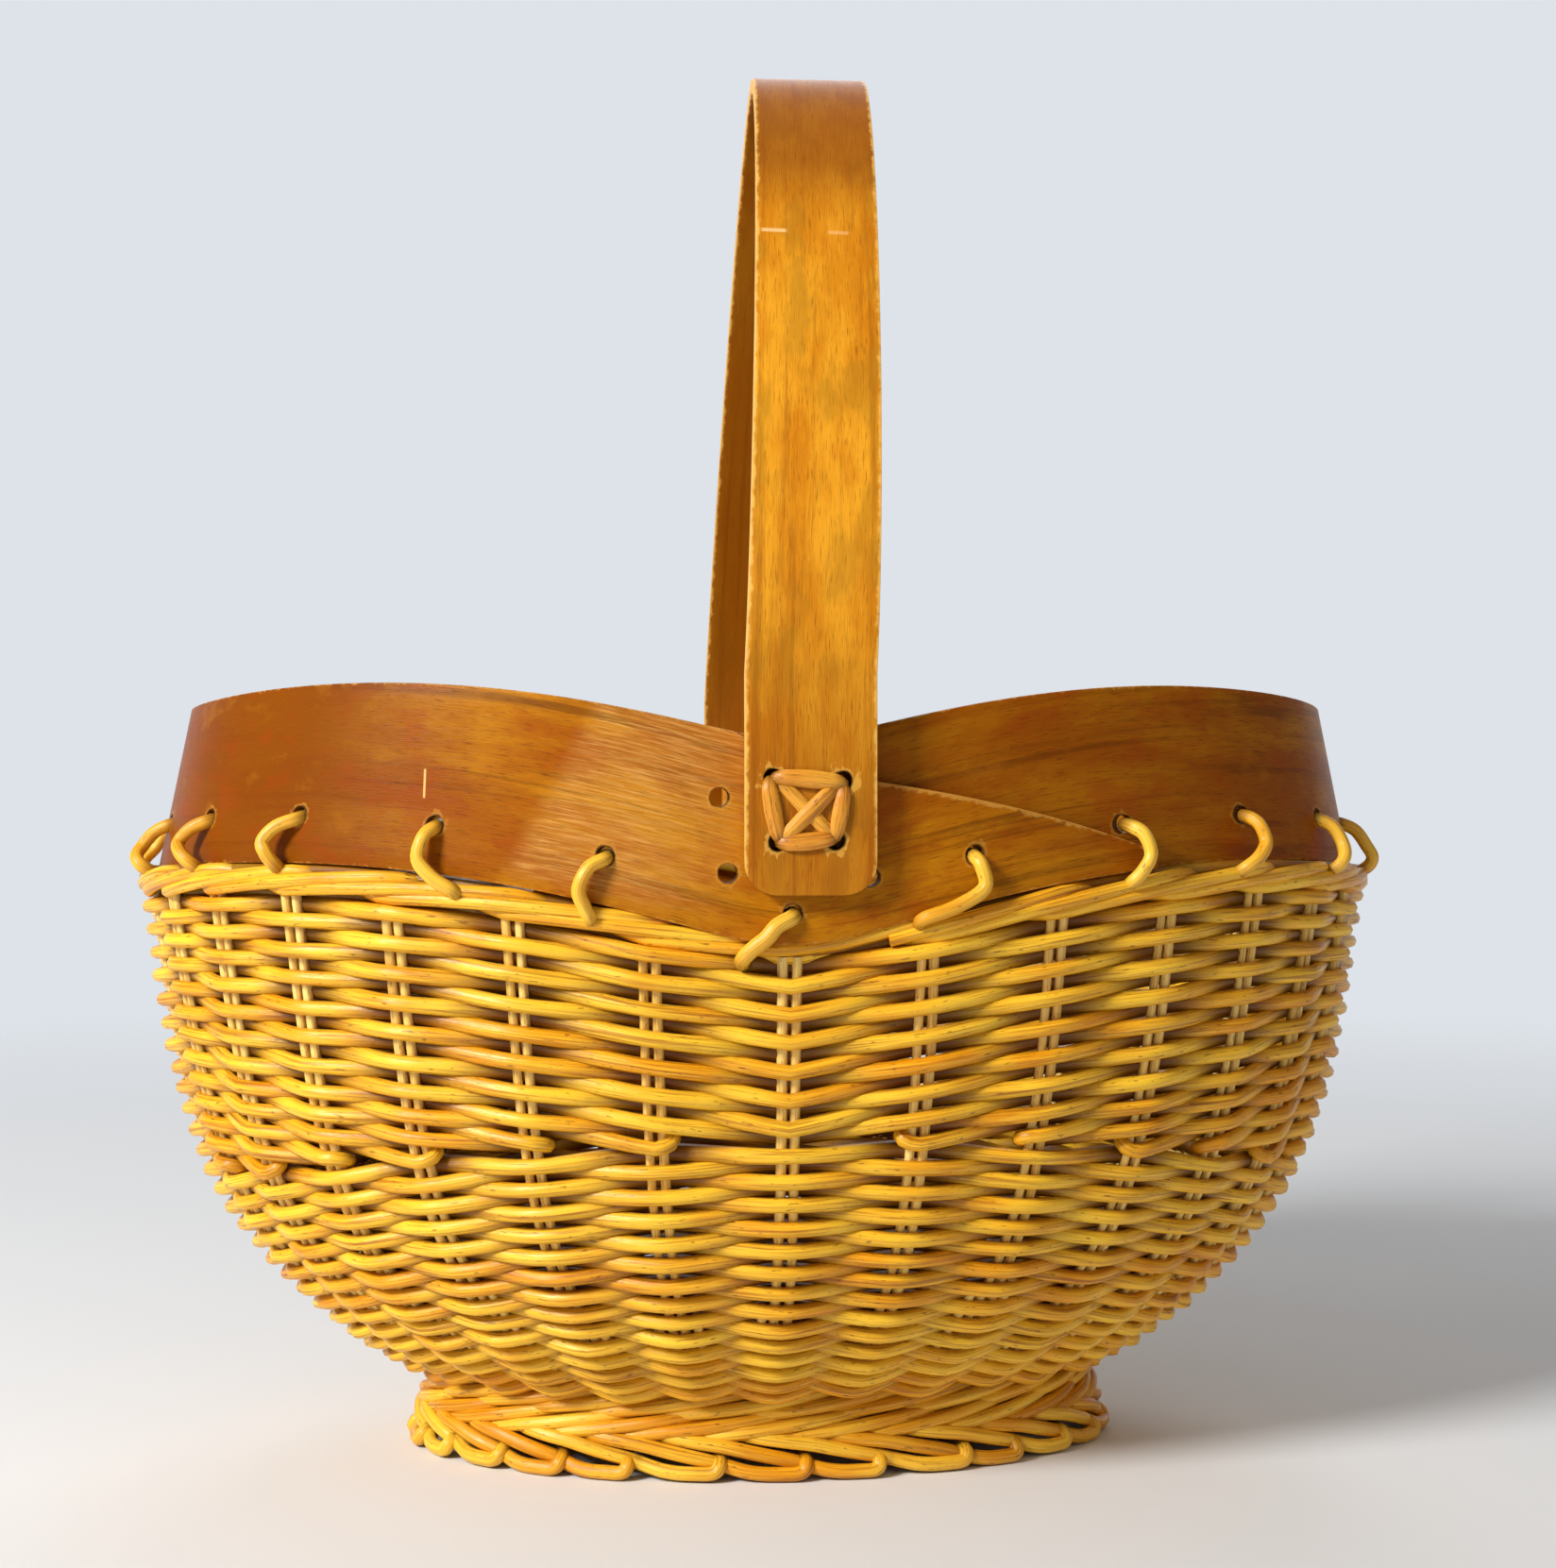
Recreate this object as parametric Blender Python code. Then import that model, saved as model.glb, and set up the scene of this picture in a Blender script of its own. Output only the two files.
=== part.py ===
# Oval reed basket with a bentwood rim band and a fixed bentwood handle.
# +Z is up, +X is the long way of the oval, -Y is the front. The origin is the
# middle of the foot, on the surface that the basket stands on.

import bpy
import bmesh
from math import cos, sin, tau, radians, sqrt, hypot
from mathutils import Vector, Matrix

MM = 0.001

# Clearance between touching pieces, and the overrun of every cut
GAP = 0.3 * MM
CUT_OVERRUN = 6.0 * MM

# Bowl: the outer face of the weave is an oval at every height
BOWL_RIM_HALF_WIDTH = 164.5 * MM
BOWL_RIM_HALF_DEPTH = 104.0 * MM
BOWL_RIM_HEIGHT = 150.0 * MM
BOWL_FOOT_HALF_WIDTH = 90.0 * MM
BOWL_FOOT_HALF_DEPTH = 47.0 * MM
BOWL_ROUND_SHARE = 0.75
BOWL_ROUND_POWER = 4
WALL_THICKNESS = 8.0 * MM
LOWER_STEPS = 4
LOWER_POWER = 1.35
UPPER_STEPS = 2

# Line where the lower weave ends and the upper weave starts
CHANGE_FRONT_HEIGHT = 90.0 * MM
CHANGE_END_HEIGHT = 73.0 * MM

# Weave: each row passes in front of one stake and behind the next, and climbs
# one row in a turn. The faces sink between the places where a reed lies in front
LOWER_ROWS = 28
UPPER_ROWS = 13
UPPER_ROW_PITCH = 3.0 * MM
ROWS_BELOW_BAND = 9.6 * MM
WEAVE_SINK = 3.0 * MM
WEAVE_SINK_AT_STAKE = 2.2 * MM
ROW_END_SHARE = 1 / 4
LOWER_SPLITS = 2
UPPER_SPLITS = 4
LENGTH_STEPS = 24
MERGE_DISTANCE = 0.001 * MM

# Foot ring
FOOT_HEIGHT = 18.0 * MM
FOOT_WIDTH_SPREAD = 4.5 * MM
FOOT_DEPTH_SPREAD = 3.0 * MM
FOOT_BORDER_HEIGHT = 7.5 * MM
FOOT_THICKNESS = 7.5 * MM
FOOT_ROUNDING = 1.4 * MM

# Base: woven round a spine of sticks, on as many sticks as there are stakes
BASE_EDGE_THICKNESS = 7.0 * MM
BASE_THICKNESS = 8.3 * MM
BASE_SINK = 3.3 * MM
BASE_SPINE_SET_IN = 49.0 * MM
BASE_SPINE_HALF_DEPTH = 2.5 * MM
BASE_FIELD_SET_IN_WIDTH = 10.0 * MM
BASE_FIELD_SET_IN_DEPTH = 8.2 * MM
BASE_ROUNDS = 12.6

# Stakes: pairs of rods that stand in channels of the wall
STAKE_COUNT = 31
STAKE_PAIR_WIDTH = 5.4 * MM
STAKE_THICKNESS = 2.8 * MM
STAKE_DEPTH_IN_WALL = 5.0 * MM
STAKE_CHANNEL_FLARE = 0.4 * MM
STAKE_TOP_BELOW_BAND = 9.4 * MM

# Top border of the weave, under the band
BORDER_HEIGHT = 4.2 * MM
BORDER_ROUNDING = 0.9 * MM
BORDER_COLUMNS = 72
BORDER_CROWDING_SHARE = 0.15
BAND_SEAT_GAP = 0.5 * MM
BORDER_SEAT_GAP = 0.5 * MM

# Rim band: one strip of wood, its two ends lapped at the front
BAND_THICKNESS = 2.6 * MM
BAND_LOW_SET_IN = 5.0 * MM
BAND_TOP_SET_IN = 13.5 * MM
BAND_DEPTH_SET_IN = 1.3 * MM
BAND_FRONT_DIP = 11.8 * MM
BAND_LOW_RISE = 54.9 * MM
BAND_LOW_FALL = 41.8 * MM
BAND_FRONT_HEIGHT = 47.2 * MM
BAND_TOP_RISE = 46.2 * MM
BAND_TOP_FALL = 39.7 * MM
BAND_SADDLE_SHARE = 0.085
BAND_EDGE_CHAMFER = 0.6 * MM
BAND_STEPS = 68
LAP_GAP = 0.4 * MM
LAP_INNER_END = -112.0
LAP_TAPER_START = -95.0
LAP_OUTER_END = -56.0
LAP_BLEND_END = -24.0
LAP_TIP_HEIGHT = 4.0 * MM

# Lacing that ties the band to the top border
STITCH_COUNT = 23
STITCH_PHASE = -89.9
STITCH_SLANT_AT_HANDLE = -4.4
LACING_RADIUS = 1.7 * MM
LACING_SIDES = 5
LACING_HOLE_RADIUS = 2.2 * MM
LACING_HOLE_RISE = 11.3 * MM
LACING_HOLE_RISE_AT_HANDLE = 7.2 * MM
LACING_BEND = 2.0 * MM
LACING_BELOW_BAND = 6.6 * MM
LACING_TRAVEL_SHARE = 0.12

# Handle: a flat strap, bent over from front to back
HANDLE_WIDTH = 30.0 * MM
HANDLE_THICKNESS = 4.0 * MM
HANDLE_FOOT_RISE = 11.6 * MM
HANDLE_LEG_HEIGHT = 50.2 * MM
HANDLE_ARCH_HEIGHT = 165.6 * MM
HANDLE_SIDE_SHARE = 0.32
HANDLE_CROWN_SHARE = 0.36
HANDLE_SHIFT = 4.2 * MM
HANDLE_LEAN = 8.0 * MM
HANDLE_EDGE_ROUNDING = 0.8 * MM
HANDLE_CORNER_RADIUS = 6.0 * MM
HANDLE_ARCH_STEPS = 36

# Four-hole lacing at each end of the handle
TIE_HALF_WIDTH = 7.4 * MM
TIE_LOW_RISE = 12.2 * MM
TIE_SQUARE_HEIGHT = 14.4 * MM
TIE_SHIFT = -0.8 * MM
TIE_HOLE_RADIUS = 2.1 * MM
TIE_LEG_RADIUS = 1.6 * MM
TIE_REED_WIDTH = 3.2 * MM
TIE_REED_THICKNESS = 1.6 * MM
TIE_THIN_THICKNESS = 1.3 * MM
TIE_CROSS_STEP = 0.25 * MM

# Empty holes of an earlier handle fixing, beside the handle at the front
OLD_HOLE_RADIUS = 2.0 * MM
OLD_HOLE_HIGH_LEFT = 16.4 * MM
OLD_HOLE_HIGH_RISE = 33.8 * MM
OLD_HOLE_LOW_LEFT = 14.5 * MM
OLD_HOLE_LOW_RISE = 16.5 * MM
OLD_HOLE_RIGHT = 18.2 * MM
OLD_HOLE_RIGHT_RISE = 15.6 * MM

# Worked out from the sizes above
FOOT_BASE_HALF_WIDTH = BOWL_FOOT_HALF_WIDTH + FOOT_WIDTH_SPREAD
FOOT_BASE_HALF_DEPTH = BOWL_FOOT_HALF_DEPTH + FOOT_DEPTH_SPREAD
BAND_LOW_HALF_WIDTH = BOWL_RIM_HALF_WIDTH - BAND_LOW_SET_IN
BAND_TOP_HALF_WIDTH = BOWL_RIM_HALF_WIDTH - BAND_TOP_SET_IN
BAND_HALF_DEPTH = BOWL_RIM_HALF_DEPTH - BAND_DEPTH_SET_IN
BAND_LOW_FRONT_HEIGHT = BOWL_RIM_HEIGHT - BAND_FRONT_DIP
BAND_TOP_FRONT_HEIGHT = BAND_LOW_FRONT_HEIGHT + BAND_FRONT_HEIGHT
HANDLE_HALF_SPAN = BAND_HALF_DEPTH + GAP + HANDLE_THICKNESS
HANDLE_FOOT_HEIGHT = BAND_LOW_FRONT_HEIGHT + HANDLE_FOOT_RISE
HANDLE_SPRING_HEIGHT = HANDLE_FOOT_HEIGHT + HANDLE_LEG_HEIGHT
HANDLE_TOP_HEIGHT = HANDLE_SPRING_HEIGHT + HANDLE_ARCH_HEIGHT
TIE_LOW_HEIGHT = HANDLE_FOOT_HEIGHT + TIE_LOW_RISE
TIE_TOP_HEIGHT = TIE_LOW_HEIGHT + TIE_SQUARE_HEIGHT
STAKE_PITCH = tau / STAKE_COUNT
FRONT = -tau / 4
REAR = tau / 4
FULL_TURN = 360


def clear_scene():
    for item in list(bpy.data.objects):
        bpy.data.objects.remove(item, do_unlink=True)


def material(name, colour, roughness):
    mat = bpy.data.materials.new(name)
    mat.use_nodes = True
    shader = mat.node_tree.nodes["Principled BSDF"]
    shader.inputs["Base Color"].default_value = (*colour, 1.0)
    shader.inputs["Roughness"].default_value = roughness
    shader.inputs["Metallic"].default_value = 0.0
    return mat


def add_piece(name, bm, mat, sharp_angle=40):
    bmesh.ops.recalc_face_normals(bm, faces=bm.faces)
    mesh = bpy.data.meshes.new(name)
    bm.to_mesh(mesh)
    bm.free()
    mesh.materials.append(mat)
    mesh.shade_smooth()
    mesh.set_sharp_from_angle(angle=radians(sharp_angle))
    piece = bpy.data.objects.new(name, mesh)
    bpy.context.collection.objects.link(piece)
    return piece


def add_cutter(name, bm):
    mesh = bpy.data.meshes.new(name)
    bm.to_mesh(mesh)
    bm.free()
    cutter = bpy.data.objects.new(name, mesh)
    bpy.context.collection.objects.link(cutter)
    cutter.hide_render = True
    cutter.display_type = "WIRE"
    return cutter


def cut(piece, cutter):
    step = piece.modifiers.new("cut", "BOOLEAN")
    step.operation = "DIFFERENCE"
    step.solver = "EXACT"
    step.object = cutter


def join_sections(bm, sections, ring):
    # Closed sections with the same number of points, joined in order.
    # A ring joins its last section to its first; otherwise the ends are capped.
    loops = [[bm.verts.new(p) for p in section] for section in sections]
    count = len(loops[0])
    pairs = list(zip(loops, loops[1:]))
    if ring:
        pairs.append((loops[-1], loops[0]))
    for one, two in pairs:
        for i in range(count):
            j = (i + 1) % count
            bm.faces.new((one[i], one[j], two[j], two[i]))
    if not ring:
        bm.faces.new(loops[0])
        bm.faces.new(list(reversed(loops[-1])))


def ring_piece(name, sections, mat):
    bm = bmesh.new()
    join_sections(bm, sections, True)
    return add_piece(name, bm, mat)


def mix(low, high, share):
    return low + (high - low) * share


def smooth(share):
    share = min(max(share, 0.0), 1.0)
    return share * share * (3 - 2 * share)


def oval_normal(angle, half_width, half_depth):
    return Vector((half_depth * cos(angle), half_width * sin(angle), 0)).normalized()


def flare(share):
    rounding = 1 - (1 - share) ** BOWL_ROUND_POWER
    return BOWL_ROUND_SHARE * rounding + (1 - BOWL_ROUND_SHARE) * share


def flare_slope(share):
    rounding = BOWL_ROUND_POWER * (1 - share) ** (BOWL_ROUND_POWER - 1)
    return BOWL_ROUND_SHARE * rounding + (1 - BOWL_ROUND_SHARE)


def bowl_oval(height):
    share = flare((height - FOOT_HEIGHT) / (BOWL_RIM_HEIGHT - FOOT_HEIGHT))
    return (mix(BOWL_FOOT_HALF_WIDTH, BOWL_RIM_HALF_WIDTH, share),
            mix(BOWL_FOOT_HALF_DEPTH, BOWL_RIM_HALF_DEPTH, share))


def bowl_frame(angle, height):
    # Point on the outer face of the bowl, its outward normal and its tangent round the oval
    rise = BOWL_RIM_HEIGHT - FOOT_HEIGHT
    share = (height - FOOT_HEIGHT) / rise
    half_width, half_depth = bowl_oval(height)
    width_slope = (BOWL_RIM_HALF_WIDTH - BOWL_FOOT_HALF_WIDTH) * flare_slope(share) / rise
    depth_slope = (BOWL_RIM_HALF_DEPTH - BOWL_FOOT_HALF_DEPTH) * flare_slope(share) / rise
    point = Vector((half_width * cos(angle), half_depth * sin(angle), height))
    around = Vector((-half_width * sin(angle), half_depth * cos(angle), 0))
    upward = Vector((width_slope * cos(angle), depth_slope * sin(angle), 1))
    return point, around.cross(upward).normalized(), around.normalized()


def bowl_point(angle, height, inset=0.0, along=0.0, level_share=0.0):
    # Behind the outer face by the inset. At level share 1 the point keeps the height,
    # at level share 0 it lies square to the face
    point, normal, around = bowl_frame(angle, height)
    upslope = normal.cross(around)
    drop = inset * -normal.z / upslope.z
    return point - normal * inset + around * along - upslope * drop * level_share


def rim_point(angle, height, inset=0.0):
    return bowl_point(angle, height, inset, level_share=1.0)


def saddle(angle, front_height, rise, fall):
    side = sqrt(cos(angle) ** 2 + BAND_SADDLE_SHARE ** 2) - BAND_SADDLE_SHARE
    return front_height + rise * side - fall * side * side


def band_low(angle):
    return saddle(angle, BAND_LOW_FRONT_HEIGHT, BAND_LOW_RISE, BAND_LOW_FALL)


def band_top(angle):
    return saddle(angle, BAND_TOP_FRONT_HEIGHT, BAND_TOP_RISE, BAND_TOP_FALL)


def change_height(angle):
    return mix(CHANGE_FRONT_HEIGHT, CHANGE_END_HEIGHT, cos(angle) ** 2)


def band_point(angle, height, inset=0.0):
    low, top = band_low(angle), band_top(angle)
    half_width = mix(BAND_LOW_HALF_WIDTH, BAND_TOP_HALF_WIDTH, (height - low) / (top - low))
    normal = oval_normal(angle, half_width, BAND_HALF_DEPTH)
    point = Vector((half_width * cos(angle), BAND_HALF_DEPTH * sin(angle), height))
    return point - normal * inset


def lap_offset(degrees):
    # The inner end lies one thickness further in, and comes out again past the outer end
    blend = (degrees - LAP_OUTER_END) / (LAP_BLEND_END - LAP_OUTER_END)
    return (BAND_THICKNESS + LAP_GAP) * (1 - smooth(blend))


def band_inner_inset(angle):
    # How far the innermost face of the band lies behind the outermost face
    degrees = (angle * FULL_TURN / tau + FULL_TURN / 2) % FULL_TURN - FULL_TURN / 2
    if LAP_INNER_END <= degrees <= LAP_BLEND_END:
        return lap_offset(degrees) + BAND_THICKNESS
    return BAND_THICKNESS


def length_table(angle, low, top):
    # Heights up the outer face and the length along it to each of them
    heights = [mix(low, top, i / LENGTH_STEPS) for i in range(LENGTH_STEPS + 1)]
    points = [bowl_point(angle, height) for height in heights]
    lengths = [0.0]
    for one, two in zip(points, points[1:]):
        lengths.append(lengths[-1] + (two - one).length)
    return heights, lengths


def height_along(table, length):
    heights, lengths = table
    for i in range(LENGTH_STEPS):
        if length <= lengths[i + 1]:
            return mix(heights[i], heights[i + 1], (length - lengths[i]) / (lengths[i + 1] - lengths[i]))
    return heights[-1]


def lower_rows(angle, turn, total):
    # Row numbers and their places along the wall, after a share of a turn from the rear
    pitch = total / LOWER_ROWS
    return pitch, [(row, (row + turn) * pitch) for row in range(-1, LOWER_ROWS + 1)]


def upper_rows(angle, turn, total):
    # Counted down from the band; the ends of the bowl have room for more rows than the front
    pitch = UPPER_ROW_PITCH
    top = total - (ROWS_BELOW_BAND - (band_low(angle) - upper_top(angle)))
    rows = LOWER_ROWS + UPPER_ROWS
    most = int(BOWL_RIM_HEIGHT / pitch)
    return pitch, [(row, top - (rows - row - turn) * pitch) for row in range(rows - most, rows + 3)]


def sink(column, splits, raised):
    # Depth of the face at a column: stakes stand at every odd multiple of half the splits
    from_stake = abs(column % splits - splits / 2) / (splits / 2)
    at_stake = 0.0 if raised else WEAVE_SINK_AT_STAKE
    return mix(at_stake, WEAVE_SINK, from_stake)


def woven_face(low_of, top_of, rows_of, splits, low_flush, top_flush):
    # Columns of points up the outer face, from the rear round to the rear again. The last
    # column meets the first one row higher
    columns = []
    for c in range(splits * STAKE_COUNT + 1):
        turn = c / (splits * STAKE_COUNT)
        angle = REAR + turn * tau
        table = length_table(angle, low_of(angle), top_of(angle))
        total = table[1][-1]
        plain = sink(c, splits, False)
        low_edge = bowl_point(angle, low_of(angle), 0.0 if low_flush else plain)
        top_edge = bowl_point(angle, top_of(angle), 0.0 if top_flush else plain)
        pitch, rows = rows_of(angle, turn, total)
        column = [low_edge]
        for row, length in rows:
            # A row that comes within a small share of its pitch of an edge ends in it
            if length < pitch * ROW_END_SHARE:
                column.append(low_edge)
            elif length > total - pitch * ROW_END_SHARE:
                column.append(top_edge)
            else:
                stake = c // splits
                raised = (row + stake) % 2 == 0
                column.append(bowl_point(angle, height_along(table, length), sink(c, splits, raised)))
        columns.append(column + [top_edge])
    return columns


def inner_columns(stake, low_of, top_of, steps, power, level_share):
    # From half way before the stake, into its channel and out, to half way after it
    channel_bottom = STAKE_DEPTH_IN_WALL - STAKE_THICKNESS / 2 - GAP
    bottom_half = STAKE_PAIR_WIDTH / 2 + GAP
    mouth_half = bottom_half + STAKE_CHANNEL_FLARE
    middle = REAR + (stake + 1 / 2) * STAKE_PITCH
    half_width, half_depth = bowl_oval(top_of(middle))
    reach = hypot(half_width * sin(middle), half_depth * cos(middle))
    places = (
        (middle - STAKE_PITCH / 2, 0.0, WALL_THICKNESS),
        (middle, -mouth_half, WALL_THICKNESS), (middle, -bottom_half, channel_bottom),
        (middle, bottom_half, channel_bottom), (middle, mouth_half, WALL_THICKNESS),
        (middle + STAKE_PITCH / 2, 0.0, WALL_THICKNESS),
    )
    columns = []
    for angle, along, inset in places:
        level_angle = angle + along / reach
        low, top = low_of(level_angle), top_of(level_angle)
        columns.append([bowl_point(angle, mix(low, top, (i / steps) ** power), inset, along,
                                   level_share * i / steps) for i in range(steps + 1)])
    return columns


def add_face(bm, *points):
    bm.faces.new([bm.verts.new(point) for point in points])


def add_strips(bm, columns):
    for one, two in zip(columns, columns[1:]):
        for i in range(len(one) - 1):
            add_face(bm, one[i], two[i], two[i + 1], one[i + 1])


def add_edge(bm, outer, inner):
    # The flat edge of the wall at one stake, round the corners of its channel
    middle = len(outer) // 2
    add_face(bm, outer[0], inner[0], inner[1])
    add_face(bm, outer[0], inner[1], inner[2])
    for i in range(middle):
        add_face(bm, outer[i], inner[2], outer[i + 1])
    add_face(bm, outer[middle], inner[2], inner[3])
    for i in range(middle, len(outer) - 1):
        add_face(bm, outer[i], inner[3], outer[i + 1])
    add_face(bm, outer[-1], inner[3], inner[4])
    add_face(bm, outer[-1], inner[4], inner[5])


def wall_piece(name, mat, low_of, top_of, rows_of, splits, flush, steps, power, level_share):
    # The faces are made one by one and then merged into a closed shell
    bm = bmesh.new()
    low_flush, top_flush = flush
    face = woven_face(low_of, top_of, rows_of, splits, low_flush, top_flush)
    add_strips(bm, face)
    for stake in range(STAKE_COUNT):
        inner = inner_columns(stake, low_of, top_of, steps, power, level_share)
        add_strips(bm, inner)
        outer = face[stake * splits:(stake + 1) * splits + 1]
        for end in (0, -1):
            add_edge(bm, [column[end] for column in outer], [column[end] for column in inner])
    bmesh.ops.remove_doubles(bm, verts=bm.verts, dist=MERGE_DISTANCE)
    return add_piece(name, bm, mat)


def upper_low(angle):
    return change_height(angle) + GAP


def border_top(angle):
    return band_low(angle) - BAND_SEAT_GAP


def upper_top(angle):
    return border_top(angle) - BORDER_HEIGHT - BORDER_SEAT_GAP


def make_walls(reed):
    # The edges are flush at the foot and under the border, and sink along the change line
    wall_piece("wall_lower", reed, lambda angle: FOOT_HEIGHT, change_height, lower_rows,
               LOWER_SPLITS, (True, False), LOWER_STEPS, power=LOWER_POWER, level_share=0)
    wall = wall_piece("wall_upper", reed, upper_low, upper_top, upper_rows,
                      UPPER_SPLITS, (False, True), UPPER_STEPS, power=1, level_share=1)
    cut(wall, lacing_notches())


def make_stakes(reed):
    half_width = STAKE_PAIR_WIDTH / 2
    half_thickness = STAKE_THICKNESS / 2
    crown = half_width - half_thickness
    outline = (
        (-half_width, 0), (-crown, half_thickness), (crown, half_thickness),
        (half_width, 0), (crown, -half_thickness), (-crown, -half_thickness),
    )
    for k in range(STAKE_COUNT):
        angle = FRONT + k * STAKE_PITCH
        change = change_height(angle)
        top = band_low(angle) - STAKE_TOP_BELOW_BAND
        heights = [mix(FOOT_HEIGHT, change, (i / LOWER_STEPS) ** LOWER_POWER)
                   for i in range(LOWER_STEPS + 1)]
        heights += [mix(upper_low(angle), upper_top(angle), i / UPPER_STEPS)
                    for i in range(1, UPPER_STEPS)]
        heights.append(top)
        sections = [[bowl_point(angle, z, STAKE_DEPTH_IN_WALL + across, along)
                     for along, across in outline] for z in heights]
        # The foot of the stake stops short of the base
        lift = (sections[1][0] - sections[0][0]).normalized() * GAP
        sections[0] = [p + lift for p in sections[0]]
        bm = bmesh.new()
        join_sections(bm, sections, False)
        add_piece("stake_%02d" % (k + 1), bm, reed)


def make_top_border(reed):
    sections = []
    for k in range(BORDER_COLUMNS):
        # Columns stand closer where the rim dips, at the front and the rear
        turn = k * tau / BORDER_COLUMNS
        angle = turn + BORDER_CROWDING_SHARE * sin(2 * turn)
        top = border_top(angle)
        low = top - BORDER_HEIGHT
        middle = (top + low) / 2
        edge = BORDER_ROUNDING
        sections.append([
            rim_point(angle, low, edge), rim_point(angle, middle), rim_point(angle, top, edge),
            rim_point(angle, top, WALL_THICKNESS - edge), rim_point(angle, middle, WALL_THICKNESS),
            rim_point(angle, low, WALL_THICKNESS - edge),
        ])
    ring_piece("top_border", sections, reed)


def foot_point(angle, height, inset):
    share = height / FOOT_HEIGHT
    half_width = mix(FOOT_BASE_HALF_WIDTH, BOWL_FOOT_HALF_WIDTH, share)
    half_depth = mix(FOOT_BASE_HALF_DEPTH, BOWL_FOOT_HALF_DEPTH, share)
    point = Vector((half_width * cos(angle), half_depth * sin(angle), height))
    return point - oval_normal(angle, half_width, half_depth) * inset


def foot_sections(low, top):
    # Rounded on both sides, flat above and below
    middle = (low + top) / 2
    edge, inside = FOOT_ROUNDING, FOOT_THICKNESS
    sections = []
    for k in range(2 * STAKE_COUNT):
        angle = k * STAKE_PITCH / 2
        sections.append([
            foot_point(angle, low, edge), foot_point(angle, middle, 0), foot_point(angle, top, edge),
            foot_point(angle, top, inside - edge), foot_point(angle, middle, inside),
            foot_point(angle, low, inside - edge),
        ])
    return sections


def make_foot(reed):
    ring_piece("foot_border", foot_sections(0, FOOT_BORDER_HEIGHT), reed)
    wale_top = FOOT_HEIGHT - 2 * GAP
    ring_piece("foot_wale", foot_sections(FOOT_BORDER_HEIGHT + GAP, wale_top), reed)


def base_point(angle, share, height):
    half_width = BOWL_FOOT_HALF_WIDTH - mix(BASE_SPINE_SET_IN, BASE_FIELD_SET_IN_WIDTH, share)
    half_depth = mix(BASE_SPINE_HALF_DEPTH, BOWL_FOOT_HALF_DEPTH - BASE_FIELD_SET_IN_DEPTH, share)
    return Vector((half_width * cos(angle), half_depth * sin(angle), height))


def base_edge(angle):
    # The edge of the base follows the slanted lower face of the wall
    point, normal, around = bowl_frame(angle, FOOT_HEIGHT)
    edge = point - normal.cross(around) * GAP
    return Vector((edge.x, edge.y, FOOT_HEIGHT - GAP)), edge - normal * BASE_EDGE_THICKNESS


def make_base(reed):
    # One column of points a stick, above and below. A round stands out above where it sinks
    # below, and spirals out by one round a turn
    bm = bmesh.new()
    low = FOOT_HEIGHT - GAP
    top = low + BASE_THICKNESS
    for side, (level, sunk) in enumerate(((low, low + BASE_SINK), (top, top - BASE_SINK))):
        columns = []
        for stick in range(STAKE_COUNT + 1):
            turn = (stick + 1 / 2) / STAKE_COUNT
            angle = REAR + turn * tau
            column = [base_point(angle, 0.0, level)]
            for row in range(-1, int(BASE_ROUNDS) + 1):
                rounds = row + turn
                height = level if (row + stick) % 2 == side else sunk
                if rounds < ROW_END_SHARE:
                    rounds, height = 0.0, level
                elif rounds > BASE_ROUNDS - ROW_END_SHARE:
                    rounds, height = BASE_ROUNDS, level
                column.append(base_point(angle, rounds / BASE_ROUNDS, height))
            column.append(base_point(angle, 1.0, level))
            columns.append(column + [base_edge(angle)[side]])
        add_strips(bm, columns)
        add_face(bm, *[column[0] for column in columns[:-1]])
    for stick in range(STAKE_COUNT):
        angle = REAR + (stick + 1 / 2) * STAKE_PITCH
        one, half, two = [base_edge(angle + share * STAKE_PITCH) for share in (0, 1 / 2, 1)]
        add_face(bm, one[0], half[0], two[0])
        add_face(bm, one[1], half[1], two[1])
        add_face(bm, one[0], half[0], half[1], one[1])
        add_face(bm, half[0], two[0], two[1], half[1])
    bmesh.ops.remove_doubles(bm, verts=bm.verts, dist=MERGE_DISTANCE)
    add_piece("base_mat", bm, reed)


def band_section(degrees, low, top, inset):
    angle = radians(degrees)
    edge = BAND_EDGE_CHAMFER
    inner = inset + BAND_THICKNESS
    return [
        band_point(angle, low, inset + edge), band_point(angle, low + edge, inset),
        band_point(angle, top - edge, inset), band_point(angle, top, inset + edge),
        band_point(angle, top, inner - edge), band_point(angle, top - edge, inner),
        band_point(angle, low + edge, inner), band_point(angle, low, inner - edge),
    ]


def make_band(wood):
    # One strip that starts as the inner end of the lap and closes over itself
    bm = bmesh.new()
    sections = []
    last = LAP_OUTER_END + FULL_TURN
    taper_start = LAP_TAPER_START + FULL_TURN
    for i in range(BAND_STEPS + 1):
        degrees = mix(LAP_INNER_END, last, i / BAND_STEPS)
        angle = radians(degrees)
        low, top = band_low(angle), band_top(angle)
        inset = lap_offset(degrees) if degrees < LAP_BLEND_END else 0.0
        if degrees > taper_start:
            top = mix(top, low + LAP_TIP_HEIGHT, (degrees - taper_start) / (last - taper_start))
        sections.append(band_section(degrees, low, top, inset))
    join_sections(bm, sections, False)
    band = add_piece("rim_band", bm, wood)
    cut(band, band_hole_cutter())


def stitch_angle(k):
    return radians(STITCH_PHASE) + k * tau / STITCH_COUNT


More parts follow.
